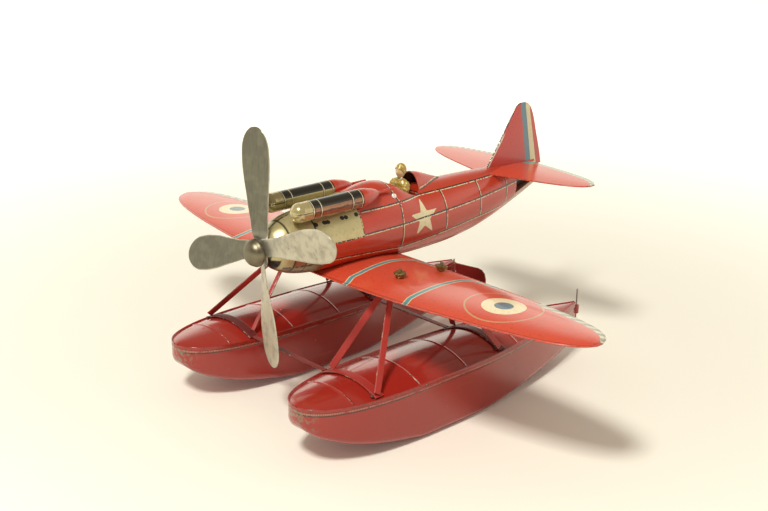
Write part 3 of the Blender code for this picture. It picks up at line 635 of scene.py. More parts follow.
def near_rim(table, reach, station):
    """Distance in from a plate's leading edge, trailing edge or tip."""
    edge = np.minimum(station - fair(table, reach, 1), fair(table, reach, 2) - station)
    return np.minimum(edge, (table[-1][0] - reach) * 1.4)

tail_print, tree, shader = new_material("tail print")
behind = marked("behind")
along = marked("along")
dashes = step(number("SINE", number("ADD", along, times(behind, 0.9))), -0.3, 0.3)
strip = over(dashes, (0.26, 0.36, 0.26, 1), (0.58, 0.60, 0.42, 1))
tone = over(step(behind, 7.0, 6.5), WING_RED, strip)
near_fin = times(step(along, 16.0, 12.0), step(behind, 14.0, 12.0))
tone = over(near_fin, tone, (0.14, 0.34, 0.33, 1))
lacquer(tone, wear=times(step(marked("rim"), 1.5, 0.2), 0.72), coat=0.25)
for side, sign in SIDES.items():
    plate = skin(f"tailplane_skin_{side}", plate_surface(
        TAIL, 60, 40, lambda reach, station, offset: points(sign * reach, station, TAIL_HEIGHT + offset)))
    x, station, z = places(plate)
    far = np.abs(x)
    mark(plate, behind=np.where(z > TAIL_HEIGHT, fair(TAIL, far, 2) - station, NO_MARK), along=far,
         rim=near_rim(TAIL, far, station))
    finish_piece(plate, tail_print, "red_wing_enamel", f"tailplane_{side}")

fin = skin("fin_skin", plate_surface(
    FIN, 70, 40, lambda reach, station, offset: points(offset, station, reach)))
x, station, z = places(fin)
mark(fin, **{name: station - np.interp(z, *line) for name, line in FIN_BANDS.items()},
     fore=station - fair(FIN, z, 1), rim=near_rim(FIN, z, station), height=z)
FIN_RED = (0.50, 0.040, 0.028, 1)
fin_print, tree, shader = new_material("fin print")
tone = FIN_RED
for name, colour in (("blue_from", (0.095, 0.20, 0.26, 1)), ("cream_from", (0.66, 0.58, 0.34, 1)),
                     ("red_from", FIN_RED)):
    tone = over(step(marked(name), -0.2, 0.2), tone, colour)
fore = marked("fore")
# Pale bare fold along the lower leading edge, made bright there also as a painted highlight.
white_edge = times(step(fore, 3.0, 2.6), step(marked("height"), 205.0, 198.0))
tone = over(white_edge, tone, (0.80, 0.75, 0.62, 1))
tone = over(times(step(fore, 1.3, 1.0), step(cloud(420, 1), 0.42, 0.52)), tone, PRINT_BLACK)
lacquer(tone, wear=times(step(marked("rim"), 1.5, 0.2), 0.62), coat=0.3)
finish_piece(fin, fin_print, "red_body_enamel", "fin")


# ---- Floats -----------------------------------------------------------------------------------
# Each float is a boat-shaped tin hull with upright sides and rounded bilges, closed by a cambered deck
# whose edge is rolled over the hull. A folded seam runs a little below the rim, and four ribs are
# pressed across the deck.

FLOAT = [                 # station, half width, height of the bottom, camber of the deck
    (-31.0, 4.5, 38.0, 0.8),
    (-29.5, 9.5, 33.5, 1.5),
    (-26.0, 15.0, 29.0, 2.5),
    (-20.0, 20.5, 24.5, 3.6),
    (-11.0, 25.5, 20.5, 4.8),
    (1.0, 30.0, 16.0, 6.0),
    (15.0, 33.5, 12.0, 7.2),
    (31.0, 36.0, 8.3, 8.0),
    (55.0, 37.8, 3.8, 8.8),
    (82.0, 38.4, 0.0, 9.4),
    (120.0, 38.2, 0.0, 10.0),
    (156.0, 36.8, 0.0, 9.8),
    (190.0, 33.2, 2.5, 8.8),
    (222.0, 27.8, 5.2, 7.2),
    (255.0, 20.4, 7.2, 5.2),
    (285.0, 12.0, 8.4, 3.0),
    (304.0, 5.3, 9.0, 1.2),
    (313.5, 1.6, 9.2, 0.4),
]
BOW, STERN = FLOAT[0][0], FLOAT[-1][0]
FLOAT_SPREAD = 81.5
GUNWALE = 47.0
SEAM_BEAD = 45.8          # height of the folded seam's bead
SEAM_LINE = 44.6          # of the dark line under it
CRIMP_LINE = 46.1         # of the row of crimps
SIDE_INSET = 0.35         # the hull's side inside the deck's rim
DECK_RIBS = (5.0, 70.0, 125.0, 196.0)
RIM_HEIGHT = 3.5
RIM_WIDTH = 1.4
DECK_EDGE = GUNWALE + RIM_HEIGHT - 1.2    # height of the deck beside its rim

def hump(distance, width):
    """A smooth swell: 1 at no distance, falling as the bell curve."""
    return np.exp(-(distance / width) ** 2)

def float_stations(pitch):
    """Stations packed closely at the bow, where the hull turns fastest."""
    return BOW + (STERN - BOW) * np.linspace(0, 1, int((STERN - BOW) / pitch)) ** 1.35

def hull_surface(centre):
    """A hull section at each station: flat top, upright sides with a bead for the seam, and bilges that
    follow a quarter of an oval down to the flat bottom."""
    station = float_stations(1.4)[:, None]
    width, bottom = fair(FLOAT, station, 1), fair(FLOAT, station, 2)
    bilge = np.minimum(6.0, 0.6 * width)
    rise = np.minimum(7.0, 0.35 * (GUNWALE - bottom))
    side_z = GUNWALE + np.linspace(0, 1, 30)[None, :] * (bottom + rise - GUNWALE)
    side_x = width - SIDE_INSET + 0.35 * hump(side_z - SEAM_BEAD, 0.7) * np.minimum(1, width / 6)
    turn = np.linspace(0, math.pi / 2, 14)[None, 1:]
    bilge_x = width - SIDE_INSET - bilge * (1 - np.cos(turn))
    bilge_z = bottom + rise * (1 - np.sin(turn))
    flat_x = (width - SIDE_INSET - bilge) * np.linspace(1, 0, 8)[None, 1:]
    x = np.concatenate([side_x, bilge_x, flat_x], 1)
    z = np.concatenate([side_z, bilge_z, bottom + 0 * flat_x], 1)
    x = np.concatenate([x, -x[:, -2::-1]], 1)
    z = np.concatenate([z, z[:, -2::-1]], 1)
    return points(centre + x, station, z)

def deck_surface(centre):
    """A deck section at each station: flat underside, rolled rims with round tops, and a cambered top that
    rises 0.7 where a rib is pressed."""
    rows = [float_stations(1.6)] + [rib + np.linspace(-1.6, 1.6, 9) for rib in DECK_RIBS]
    station = np.unique(np.concatenate(rows))[:, None]
    width, camber_rise = fair(FLOAT, station, 1), fair(FLOAT, station, 3)
    rim = np.minimum(RIM_WIDTH, 0.3 * width)
    inner = width - rim - np.minimum(0.5, 0.1 * width)
    bead = sum(0.7 * hump(station - rib, 0.75) for rib in DECK_RIBS)
    turn = np.linspace(0, math.pi, 9)[None, :]
    rim_x = width - rim / 2 + rim / 2 * np.cos(turn)
    rim_z = GUNWALE + RIM_HEIGHT - 0.7 + 0.7 * np.sin(turn) + 0 * width
    across = np.linspace(1, -1, 49)[None, :]
    ridge = bead * unit((1 - np.abs(across)) * 12)
    top_z = DECK_EDGE + camber_rise * (1 - across ** 2) + ridge
    base_x = np.concatenate([-width, width], 1)
    x = np.concatenate([rim_x, inner * across, -rim_x[:, ::-1], base_x], 1)
    z = np.concatenate([rim_z, top_z, rim_z[:, ::-1], np.full(base_x.shape, GUNWALE + 0.3)], 1)
    return points(centre + x, station, z)

FLOAT_RED = (0.345, 0.021, 0.013, 1)
float_paint, tree, shader = new_material("float paint")
tone = over(step(marked("seam"), 0.62, 0.35), FLOAT_RED, (0.06, 0.02, 0.012, 1))
crimps = step(number("SINE", times(marked("along"), 4.6)), 0.1, 0.6)
crimps = times(crimps, step(marked("crimp"), 0.9, 0.5))
tone = over(times(crimps, step(cloud(120, 3), 0.34, 0.5)), tone, (0.46, 0.30, 0.20, 1))
scuffed = over(step(cloud(260, 5), 0.47, 0.62), tone, (0.20, 0.20, 0.13, 1))
lacquer(over(marked("bow"), tone, scuffed), wear=marked("bared"))
rows = np.linspace(BOW, STERN, 600)
run = np.concatenate([[0], np.cumsum(np.hypot(np.diff(rows), np.diff(fair(FLOAT, rows, 1))))])
for side, sign in SIDES.items():
    hull = skin(f"hull_shell_{side}", hull_surface(sign * FLOAT_SPREAD))
    x, station, z = places(hull)
    keel = unit(1 - np.abs(z - fair(FLOAT, station, 2) - 2.0) / 3.5) * 0.35
    bow = unit(1 - (station - BOW) / 26)
    mark(hull, seam=np.abs(z - SEAM_LINE) * 0.8, along=np.interp(station, rows, run),
         crimp=np.abs(z - CRIMP_LINE),
         bow=unit(1 - (station - BOW) / 10) * unit((z - 28) / 6) * 0.9,
         bared=np.maximum.reduce([0.60 * unit(1 - np.abs(z - 46.0) / 0.9), keel, 0.45 * bow]))
    finish_piece(hull, float_paint, "red_float_enamel", f"float_hull_{side}")
    deck = skin(f"deck_skin_{side}", deck_surface(sign * FLOAT_SPREAD))
    x, station, z = places(deck)
    off_edge = fair(FLOAT, station, 1) - np.abs(x - sign * FLOAT_SPREAD)
    rib = sum(hump(station - s, 0.7) for s in DECK_RIBS)
    bright_end = (off_edge < 15) & (off_edge > 2)
    # Along the ribs the tin shows, most towards their outer ends; this pale line is partly real wear and
    # partly a painted highlight on the beads.
    mark(deck, seam=9, crimp=9, along=0, bow=0,
         bared=np.maximum(0.64 * unit(1 - off_edge / 2.0), rib * np.where(bright_end, 1.0, 0.55)))
    finish_piece(deck, float_paint, "red_float_enamel", f"float_deck_{side}")


# ---- Stern knuckles ---------------------------------------------------------------------------
# Two short rolled sleeves at each float's stern hold the upright wire on which a water rudder turns.

PIN_STATION = 315.9
KNUCKLES = ((9.4, 15.0), (38.0, 46.8))    # lowest and highest point
for side, sign in SIDES.items():
    for count, (low, high) in enumerate(KNUCKLES):
        run = np.array([low, low + 0.2, low + 0.6, high - 0.6, high - 0.2, high])[:, None]
        radius = np.array([2.0, 2.4, 2.6, 2.6, 2.4, 2.0])[:, None]
        sleeve = skin(f"stern_knuckle_{side}_{count}", points(
            sign * FLOAT_SPREAD + radius * np.sin(turns(40)), PIN_STATION + radius * np.cos(turns(40)), run))
        x, station, z = places(sleeve)
        mark(sleeve, seam=np.abs(station - PIN_STATION - 2.4) * 0.4 + 0.2, bared=0.35,
             crimp=9, along=0, bow=0)
        finish_piece(sleeve, float_paint, "red_float_enamel")


# ---- Cylinder banks and their fairings --------------------------------------------------------
# Two long pressings beside the nose stand for the engine's cylinder banks: a domed gold front, then a
# tube printed black above and copper below with cream rings. A red tapered fairing follows each.

BANK_SPREAD = 18.8
BANK_HEIGHT = 181.0
BANK_RADIUS = 8.4
BANK_FRONT = 27.0
BANK_REAR = 90.0
BANK_RINGS = (35.4, 43.6, 78.0, 88.4)
FAIRING = [               # station, radius, drift
    (90.3, 8.25, 0.0), (95.0, 8.0, 0.05), (100.0, 7.0, 0.2), (106.0, 5.4, 0.5), (111.0, 3.3, 0.8),
    (114.5, 1.2, 1.0)]

def bank_surface(sign, station, radius, drift):
    """Circles round the bank's axis; the axis drifts inwards and up behind the bank."""
    station, radius, drift = (np.asarray(values)[:, None] for values in (station, radius, drift))
    return points(sign * (BANK_SPREAD - drift) + radius * np.sin(turns(72)), station,
                  BANK_HEIGHT + 0.8 * drift + radius * np.cos(turns(72)))

def leave_plain(piece, **given):
    """Marks a piece as bare of the body's printed design, but for the marks that are given."""
    plain = {f"line_{count}": NO_MARK for count in range(LINE_COUNT)}
    plain |= dict(gold=-9, star=-9, hollow=0, fold=9, dots=9, tan=0, outline=0, copper=-9, gold_panel=9)
    mark(piece, **(plain | given))

bank_print, tree, shader = new_material("bank print")
ring = marked("ring")
turned = marked("turn")
angle = number("ABSOLUTE", turned)
tone = over(cloud(60, 3), (0.40, 0.19, 0.10, 1), (0.25, 0.11, 0.055, 1))
wander = number("MULTIPLY_ADD", cloud(180, 2), 0.5, 1.40)
tone = over(times(step(off(angle, wander), 0.13, 0.06), 0.85), tone, (0.09, 0.03, 0.015, 1))
# Painted shadow: darker blotches beside each raised ring, showing on the copper.
ring_shadow = times(step(ring, 2.6, 0.8), step(cloud(240, 3), 0.60, 0.46))
tone = over(times(ring_shadow, 0.8), tone, (0.06, 0.025, 0.012, 1))
tone = over(step(turned, 0.1, -0.1), tone, (0.47, 0.40, 0.18, 1))
tone = over(step(angle, 1.20, 1.16), tone, (0.024, 0.023, 0.017, 1))
dome = step(marked("aft"), 35.2, 34.8)
tone = over(dome, tone, over(cloud(80, 3), (0.62, 0.54, 0.28, 1), (0.44, 0.37, 0.17, 1)))
tone = over(times(dome, step(off(angle, 1.50), 0.06, 0.035)), tone, (0.05, 0.04, 0.02, 1))
tone = over(step(ring, 0.95, 0.75), tone, (0.02, 0.018, 0.014, 1))
tone = over(step(ring, 0.50, 0.34), tone, (0.78, 0.72, 0.50, 1))
lacquer(tone, metal=0.5)
for side, sign in SIDES.items():
    nose_turn = np.radians(np.linspace(84, 4, 18))
    run = np.linspace(BANK_FRONT, BANK_REAR, 110)
    bulge = sum(0.16 * hump(run - s, 0.5) for s in BANK_RINGS)
    station = np.concatenate([BANK_FRONT - BANK_RADIUS * np.sin(nose_turn), run])
    radius = np.concatenate([BANK_RADIUS * np.cos(nose_turn), np.full(110, BANK_RADIUS - 0.2) + bulge])
    bank = skin(f"bank_skin_{side}", bank_surface(sign, station, radius, np.zeros(len(station))))
    x, station, z = places(bank)
    mark(bank, aft=station, ring=np.min([np.abs(station - s) for s in BANK_RINGS], axis=0),
         turn=np.arctan2(sign * x - BANK_SPREAD, z - BANK_HEIGHT))
    finish_piece(bank, bank_print, "gold_print", f"cylinder_bank_{side}")
    run = np.linspace(FAIRING[0][0], 131.0, 50)
    cone = skin(f"bank_cone_{side}", bank_surface(sign, run, fair(FAIRING, run, 1), fair(FAIRING, run, 2)))
    leave_plain(cone)
    finish_piece(cone, body_print, "red_body_enamel", f"bank_fairing_{side}")


# ---- Headrest ---------------------------------------------------------------------------------
# An arched pressing behind the cockpit, open at its front end and tapering to a point on the spine.

HEADREST = [              # station, half width, top
    (168.5, 12.5, 187.8), (175.0, 11.2, 186.6), (182.0, 9.6, 184.4), (195.0, 5.4, 179.6), (205.0, 1.6, 176.2)]
HEADREST_BASE = 165.0
MOUTH = [                 # the same for its hollow
    (160.0, 11.4, 186.7), (168.5, 11.4, 186.7), (182.0, 8.6, 183.2), (190.0, 4.0, 177.5)]
MOUTH_BASE = 166.5

def arches(station, width, top, base, columns):
    """Half ovals over a base line, each with its own width and top."""
    turn = np.linspace(0, math.pi, columns)[None, :]
    width, station, rise = width[:, None], station[:, None], top[:, None] - base
    return points(width * np.cos(turn), station, base + rise * np.sin(turn))

run = np.linspace(HEADREST[0][0], HEADREST[-1][0], 50)
width, top = fair(HEADREST, run, 1), fair(HEADREST, run, 2)
headrest = skin("headrest_skin", arches(run, width, top, HEADREST_BASE, 48))
cut(headrest, skin("cut_headrest", arches(*np.array(MOUTH).T, MOUTH_BASE, 32)))
x, station, z = places(headrest)
width, top = fair(HEADREST, station, 1), fair(HEADREST, station, 2)
depth = np.hypot(x / width, (z - HEADREST_BASE) / (top - HEADREST_BASE))
middle = fair(BODY, station, 3)
below = middle + (fair(BODY, station, 4) - middle) * np.sqrt(unit(1 - (x / fair(BODY, station, 1)) ** 2))
# Inside its mouth the headrest is painted near black: painted shade.
leave_plain(headrest, hollow=depth < 0.975, fold=np.abs(x),
            line_0=np.where(station > 169.5, z - below - 0.4, NO_MARK))
finish_piece(headrest, body_print, "red_body_enamel", "headrest_fairing")


# ---- Rivet heads beside the cockpit -----------------------------------------------------------
# One domed rivet on each side fixes the ends of the coaming; its near-white tone is partly a painted glint.

bright, tree, shader = new_material("bright rivet")
# Near-white base: partly a real shiny head, partly a painted glint.
polish(over(cloud(300, 2), (0.92, 0.90, 0.84, 1), (0.76, 0.74, 0.68, 1)), 0.35, 0.22)

def dome_on(name, seat, outward, radius, height, material, slot):
    """A round head on a surface: circles that shrink as the cosine while they rise as the sine."""
    outward = Vector(outward).normalized()
    aside = outward.orthogonal().normalized()
    along = outward.cross(aside)
    turn = turns(28)
    climb = np.radians(np.linspace(0, 86, 10))[:, None]
    rise = np.concatenate([[[-0.35]], np.sin(climb)])[..., None] * np.array(outward) * height
    spread = np.concatenate([[[1.0]], np.cos(climb)])[..., None]
    ring = np.cos(turn)[..., None] * np.array(aside) + np.sin(turn)[..., None] * np.array(along)
    piece = skin(name, points(*seat) + (spread * ring * radius + rise) / 1000)
    finish_piece(piece, material, slot)

for side, sign in SIDES.items():
    dome_on(f"coaming_rivet_{side}", (sign * 18.0, 132.0, 175.6), (sign * 0.66, -0.08, 0.75), 2.6, 1.6,
            bright, "gold_print")


# ---- Pilot ------------------------------------------------------------------------------------
# A little cast figure to the chest, painted gold: round shoulders with hanging arms, a helmet with a
# low brim, a goggle band and a plain face.

PILOT_STATION = 157.0
HELMET_HEIGHT = 190.6     # of its middle
HELMET_RISE = 6.0         # half its own height

def blob(name, centre, surface):
    """A closed shape round a centre: surface gives the reach in x, station and height at each bearing
    (0 to 2 pi from the front) and climb (-pi/2 to pi/2)."""
    climb = np.linspace(-math.pi / 2 + 0.04, math.pi / 2 - 0.04, 40)[:, None]
    x, station, z = surface(turns(56), climb)
    return skin(name, points(centre[0] + x, centre[1] + station, centre[2] + z))

def flattened(values, power):
    """Values drawn out towards 1 or -1, which squares a round shape a little."""
    return np.sign(values) * np.abs(values) ** power

def chest_shape(bearing, climb):
    """Shoulders: a rounded box, wide across, with the arms swelling at the sides and a hollow at the neck."""
    level, up = np.cos(climb), np.sin(climb)
    arm = 1 + 0.10 * hump(np.abs(np.sin(bearing)) - 1, 0.35) * hump(climb - 0.25, 0.5)
    x = 9.2 * flattened(level, 0.7) * np.sin(bearing) * arm
    fold = 0.35 * np.cos(9 * climb + 2 * bearing) * level
    station = -(5.8 * flattened(level, 0.7) + fold) * np.cos(bearing)
    return x, station, 11.6 * flattened(up, 0.9) - 1.6 * hump(x, 3) * (up > 0.8)

def sleeve_shape(bearing, climb):
    """A hanging arm: an egg on end with two soft creases, leaning forward as it goes down."""
    level, up = np.cos(climb), np.sin(climb)
    crease = 0.22 * np.cos(11 * climb) * level
    return ((3.4 * level + crease) * np.sin(bearing), -(4.0 * level + crease) * np.cos(bearing) + 1.9 * up,
            6.6 * flattened(up, 0.9))

def face_shape(bearing, climb):
    """A small head: an egg with a modest brow, nose and chin on its front."""
    level, up = np.cos(climb), np.sin(climb)
    front = unit(np.cos(bearing)) ** 6
    nose = 0.75 * front * hump(climb + 0.12, 0.22) * hump(np.sin(bearing), 0.22)
    chin = 0.45 * front * hump(climb + 0.85, 0.25)
    hollow = -0.3 * front * hump(climb - 0.18, 0.14)
    reach = 1 + (nose + chin + hollow) / 4.6
    taper = 1 - 0.14 * unit(-up)
    return 4.3 * level * np.sin(bearing) * taper, -4.7 * level * np.cos(bearing) * reach, 5.9 * up

def helmet_edge(bearing):
    """The helmet's lower edge as the sine of its climb: at the brow in front, down to the nape behind."""
    return 0.34 - 0.95 * (1 - unit(np.cos(bearing)) ** 0.8)

def helmet_shape(bearing, climb):
    """A close cap that swells out above its edge, with a small brim over the brow."""
    level, up = np.cos(climb), np.sin(climb)
    brow = helmet_edge(bearing)
    low = unit((up - brow) / 0.12)
    brim = hump(up - brow - 0.12, 0.08) * unit(np.cos(bearing)) ** 0.5
    swell = 0.80 + 0.30 * low * low * (3 - 2 * low) + 0.13 * brim
    return (4.35 * level * np.sin(bearing) * swell, (-4.75 * level * np.cos(bearing) + 0.25) * swell,
            HELMET_RISE * up * (0.9 + 0.16 * low))

pilot_paint, tree, shader = new_material("gold figure paint")
tone = over(cloud(170, 4), (0.50, 0.33, 0.055, 1), (0.24, 0.15, 0.025, 1))
tone = over(times(step(cloud(420, 4), 0.56, 0.64), 0.7), tone, (0.82, 0.72, 0.26, 1))
tone = over(times(step(cloud(300, 5), 0.44, 0.36), 0.6), tone, (0.17, 0.20, 0.03, 1))
tone = over(marked("face"), tone, over(cloud(300, 3), (0.72, 0.52, 0.32, 1), (0.52, 0.34, 0.14, 1)))
tone = over(step(marked("band"), 0.75, 0.40), tone, (0.05, 0.04, 0.025, 1))
polish(tone, 0.15, 0.25, 0.25)
fill(shader, {"Coat Weight": 0.4, "Coat Roughness": 0.15})
chest = blob("pilot_chest", (0, PILOT_STATION, 172.6), chest_shape)
head = blob("pilot_head", (0, PILOT_STATION, 189.6), face_shape)
helmet = blob("pilot_helmet", (0, PILOT_STATION + 0.2, HELMET_HEIGHT), helmet_shape)
sleeves = [blob(f"pilot_sleeve_{side}", (sign * 8.2, PILOT_STATION - 1.6, 175.2), sleeve_shape)
           for side, sign in SIDES.items()]
for piece in (chest, head, helmet, *sleeves):
    x, station, z = places(piece)
    brow = HELMET_HEIGHT + HELMET_RISE * helmet_edge(np.arctan2(x, PILOT_STATION + 0.45 - station))
    mark(piece, face=piece is head, band=np.abs(z - brow - 0.2) if piece is helmet else 9)
    finish_piece(piece, pilot_paint, "pilot_gold")
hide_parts("pilot")


# ---- Carriage ---------------------------------------------------------------------------------
# Flat painted strips carry the wing over the floats: saddles bent over the decks, a strap from float to
# float, and splayed struts bolted at both ends. Knurled brass thumb nuts on the wing hold the brackets.

strut_paint, tree, shader = new_material("strut paint")
# Painted shade: the darker tone goes on the saddles and straps that lie in shade under the wing; the lit
# front saddle to port carries little of it.
tone = over(marked("dark"), (0.40, 0.026, 0.017, 1), (0.13, 0.010, 0.009, 1))
worn = number("ADD", times(marked("edge"), 0.78), times(cloud(90, 4), 0.12))
lacquer(tone, wear=worn, dull=0.30, coat=0.05)

def strip_along(name, path, level, width, sheet, node_name, dark=0.0):
    """A flat strip carried along a path: a rounded oblong, level across its width, with a point at each
    step of the path. Marks how near each point is to the strip's edges."""
    level = np.asarray(level, float) / np.linalg.norm(level)
    run = np.gradient(path, axis=0)
    run /= np.linalg.norm(run, axis=1)[:, None]
    face = np.cross(run, level)
    face /= np.linalg.norm(face, axis=1)[:, None]
    across = np.linspace(-1, 1, 13)
    thin = sheet / 2 * np.sqrt(np.clip(1 - unit((np.abs(across) - 0.8) / 0.2) ** 2, 0.04, 1))
    u = np.concatenate([across, across[::-1]]) * width / 2
    v = np.concatenate([thin, -thin[::-1]])
    grid = path[:, None, :] + u[None, :, None] * level + v[None, :, None] * face[:, None, :]
    piece = skin(name, points(*np.moveaxis(grid, -1, 0)))
    near = np.append(np.tile(np.abs(u) / (width / 2), len(path)), [1, 1])
    mark(piece, edge=unit((near - 0.72) / 0.28), dark=dark)
    finish_piece(piece, strut_paint, "red_float_enamel", node_name)

SADDLE_WIDTH, STRAP_WIDTH, STRUT_WIDTH = 9.0, 5.0, 6.0
STRIP_SHEET, STRUT_SHEET = 1.3, 1.4
SADDLE_REACH = 33
STRAP_REACH = 48.2
STRAP_HEIGHT = 51.45
BRACKET_HEIGHT = 115.6
FOOT_LIFT = 1.7           # of a strut's end over its saddle
BOLT_AHEAD = 3.4
CARRIAGE = {              # station of the saddles, then distance and station of the thumb nut and strut heads
    "front": (28.5, (75.0, 86.5), (67.0, 80.5)),
    "rear": (172.0, (79.5, 129.5), (80.0, 134.0)),
}
STRUT_FEET = {            # foot across the float and aft, head across its bracket, bolt across the foot
    "inner": (-28.0, 2.0, -4.0, 2.0),
    "outer": (32.0, -2.0, 4.0, -2.0),
}
STRUT_LEVELS = {          # way of the strip's width, as it is on the port side
    "inner": (0.70, 0.49, -0.52),
    "outer": (0, 1, 0),
}
TURNED_LEVELS = {         # the same for the front pair to starboard
    "inner": (1.0, 0.2, -0.2),
    "outer": (0, 1, -1),
}

def deck_height(station, across):
    inner = fair(FLOAT, station, 1) - RIM_WIDTH - 0.5
    return DECK_EDGE + fair(FLOAT, station, 3) * (1 - np.minimum(1, np.abs(across) / inner) ** 2)

def saddle_seat(station, across):
    """Height of a saddle's underside, clear of the deck at both of its edges."""
    half = SADDLE_WIDTH / 2
    return np.maximum(deck_height(station - half, across), deck_height(station + half, across)) + 0.3

bolt_metal, tree, shader = new_material("dark bolt")
polish(over(cloud(200, 3), (0.10, 0.08, 0.06, 1), (0.03, 0.02, 0.015, 1)), 0.6, 0.4)
for end, (station, _, heads) in CARRIAGE.items():
    run = np.linspace(-STRAP_REACH, STRAP_REACH, 40)
    path = np.stack([run, np.full(40, station), np.full(40, STRAP_HEIGHT)], 1)
    # The straps carry painted shade at 0.75; the saddles carry it in full, but for the lit front one to port.
    strip_along(f"float_strap_{end}", path, (0, 1, 0), STRAP_WIDTH, STRIP_SHEET, f"cross_strap_{end}", 0.75)
    for side, sign in SIDES.items():
        centre = sign * FLOAT_SPREAD
        across = np.linspace(-SADDLE_REACH, SADDLE_REACH, 61)
        middle_height = saddle_seat(station, across) + STRIP_SHEET / 2
        path = np.stack([centre + across, np.full(61, station), middle_height], 1)
        strip_along(f"saddle_strip_{end}_{side}", path, (0, 1, 0), SADDLE_WIDTH, STRIP_SHEET,
                    f"saddle_{end}_{side}", 0.1 if (end, side) == ("front", "port") else 1.0)
        levels = TURNED_LEVELS if (end, side) == ("front", "starboard") else STRUT_LEVELS
        for name, (foot_across, aft, head_across, bolt_across) in STRUT_FEET.items():
            seat = float(saddle_seat(station, foot_across)) + STRIP_SHEET
            foot = np.array([centre + sign * foot_across, station + aft, seat + FOOT_LIFT])
            head = np.array([sign * (heads[0] + head_across), heads[1], BRACKET_HEIGHT - 1.0])
            way = head - foot
            level = np.array(levels[name], float) * (sign, 1, 1)
            level -= way * (level @ way) / (way @ way)
            strip_along(f"strut_strip_{end}_{name}_{side}", foot + np.linspace(0, 1, 30)[:, None] * way,
                        level, STRUT_WIDTH, STRUT_SHEET, f"strut_{end}_{name}_{side}")
            bolt = (foot[0] + sign * bolt_across, foot[1] - BOLT_AHEAD, seat)
            dome_on(f"foot_bolt_{end}_{name}_{side}", bolt, (0, 0, 1), 1.5, 1.1, bolt_metal, "steel")

NUT = [                   # height over the seat, radius
    (0.0, 3.5), (0.5, 3.7), (1.6, 4.1), (2.4, 4.9), (2.7, 5.3), (3.7, 5.35), (4.05, 5.0), (4.1, 2.3)]
NUT_LIFT = 0.7
TEETH = 36                # of the knurling round its rim
TOOTH_DEPTH = 0.22
RIM_FROM = 4.5            # radius
brass, tree, shader = new_material("old brass")
tone = over(cloud(160, 4), (0.42, 0.34, 0.11, 1), (0.16, 0.13, 0.05, 1))
polish(over(step(marked("groove"), 0.2, 0.8), tone, (0.03, 0.025, 0.012, 1)), 0.85, 0.22, 0.3)
climb, radius = np.array(NUT).T[:, :, None]
turn = turns(144)
grooved = (1 - np.abs(np.sin(turn * (TEETH / 2)))) * (radius > RIM_FROM)
spread = radius - TOOTH_DEPTH * grooved
for end, (_, (distance, station), _) in CARRIAGE.items():
    for side, sign in SIDES.items():
        rise = float(wing_top(distance, station + 1) - wing_top(distance, station - 1)) / 2
        lean = np.array([0, -rise, 1.0]) / math.hypot(rise, 1)
        aft = np.array([0, lean[2], -lean[1]])
        grid = (np.array([sign * distance, station, float(wing_top(distance, station))])
                + (climb + NUT_LIFT)[..., None] * lean
                + (spread * np.sin(turn))[..., None] * np.array([1.0, 0, 0])
                + (spread * np.cos(turn))[..., None] * aft)
        nut = skin(f"knurled_nut_{end}_{side}", points(*np.moveaxis(grid, -1, 0)))
        mark(nut, groove=np.append(grooved.reshape(-1), [0, 0]))
        finish_piece(nut, brass, "brass", f"thumb_nut_{end}_{side}")


# ---- Propeller --------------------------------------------------------------------------------
# Two crossed strips of dull sheet aluminium make four paddle blades, each twisted a little, held on a
# steel shaft by a turned cap. They turn together.

BLADE = [                 # distance from the shaft, half width
    (0.0, 7.3), (12.0, 7.1), (18.0, 7.5), (25.0, 7.9), (34.0, 9.3), (45.0, 10.9), (60.0, 13.4), (74.0, 14.4),
    (85.0, 13.9), (92.0, 12.0), (97.0, 8.9), (100.0, 5.5), (101.2, 3.0), (101.5, 1.2)]
BLADE_TIP = 101.5
BLADE_PAIRS = {
    "a": dict(station=1.4, lean=-5.8, dish=4.0, aside=0.5, bends=(-0.65, -2.0), twists=(26, 12), wide=1.02),
    "b": dict(station=0.0, lean=74.4, dish=-3.0, aside=-3.1, bends=(-3.0, -0.95), twists=(0, 15), wide=1.05),
}
BLADE_SHEET = 1.2
BLADE_EDGE = 0.7          # how far in its rounding starts
AXIS_HEIGHT = 149.0
CAP_BACK = -0.9           # station
CAP = [                   # distance ahead of its back, radius
    (0.0, 6.6), (0.3, 7.0), (2.2, 7.0), (2.5, 7.4), (2.8, 11.2), (3.2, 11.8), (4.8, 11.7), (5.3, 11.3),
    (7.2, 10.6), (9.0, 9.4), (10.6, 7.6), (11.9, 5.0), (12.6, 1.8)]

def blade_surface(station, lean, dish, aside, bends, twists, wide):
    """A strip along the blade's reach: its half width follows the table, its twist goes from one angle by
    the hub to another past mid blade, it bows aft with the square of the reach, and its middle line starts
    a little aside of the shaft and bends back. The edges are rounded."""
    far = BLADE_TIP * np.sin(np.linspace(-1, 1, 181) * math.pi / 2)[:, None]
    out = np.abs(far) / BLADE_TIP
    width = fair(BLADE, np.abs(far), 1) * wide
    share = unit((np.abs(far) - 14.0) / 46.0)
    root = unit((np.abs(far) - 7.5) / 7.0)
    twist = np.radians(twists[0] + (twists[1] - twists[0]) * share * share * (3 - 2 * share)) * np.sign(far)
    twist = twist * root * root * (3 - 2 * root)
    across = np.linspace(-1, 1, 25)[None, :]
    edge = unit((np.abs(across) * width - width + BLADE_EDGE) / BLADE_EDGE)
    thin = BLADE_SHEET / 2 * np.sqrt(np.clip(1 - edge ** 2, 0.03, 1))
    u = np.concatenate([across, across[:, ::-1]], 1) * width
    v = np.concatenate([thin, -thin[:, ::-1]], 1)
    middle = np.where(far > 0, bends[0], bends[1]) * out ** 2 + aside * (1 - out) * unit(np.abs(far) / 6)
    x = middle + u * np.cos(twist) - v * np.sin(twist)
    aft = dish * out ** 2 + u * np.sin(twist) + v * np.cos(twist)
    turn = math.radians(lean)
    return points(x * math.cos(turn) + far * math.sin(turn), station + aft,
                  AXIS_HEIGHT - x * math.sin(turn) + far * math.cos(turn)), u, far

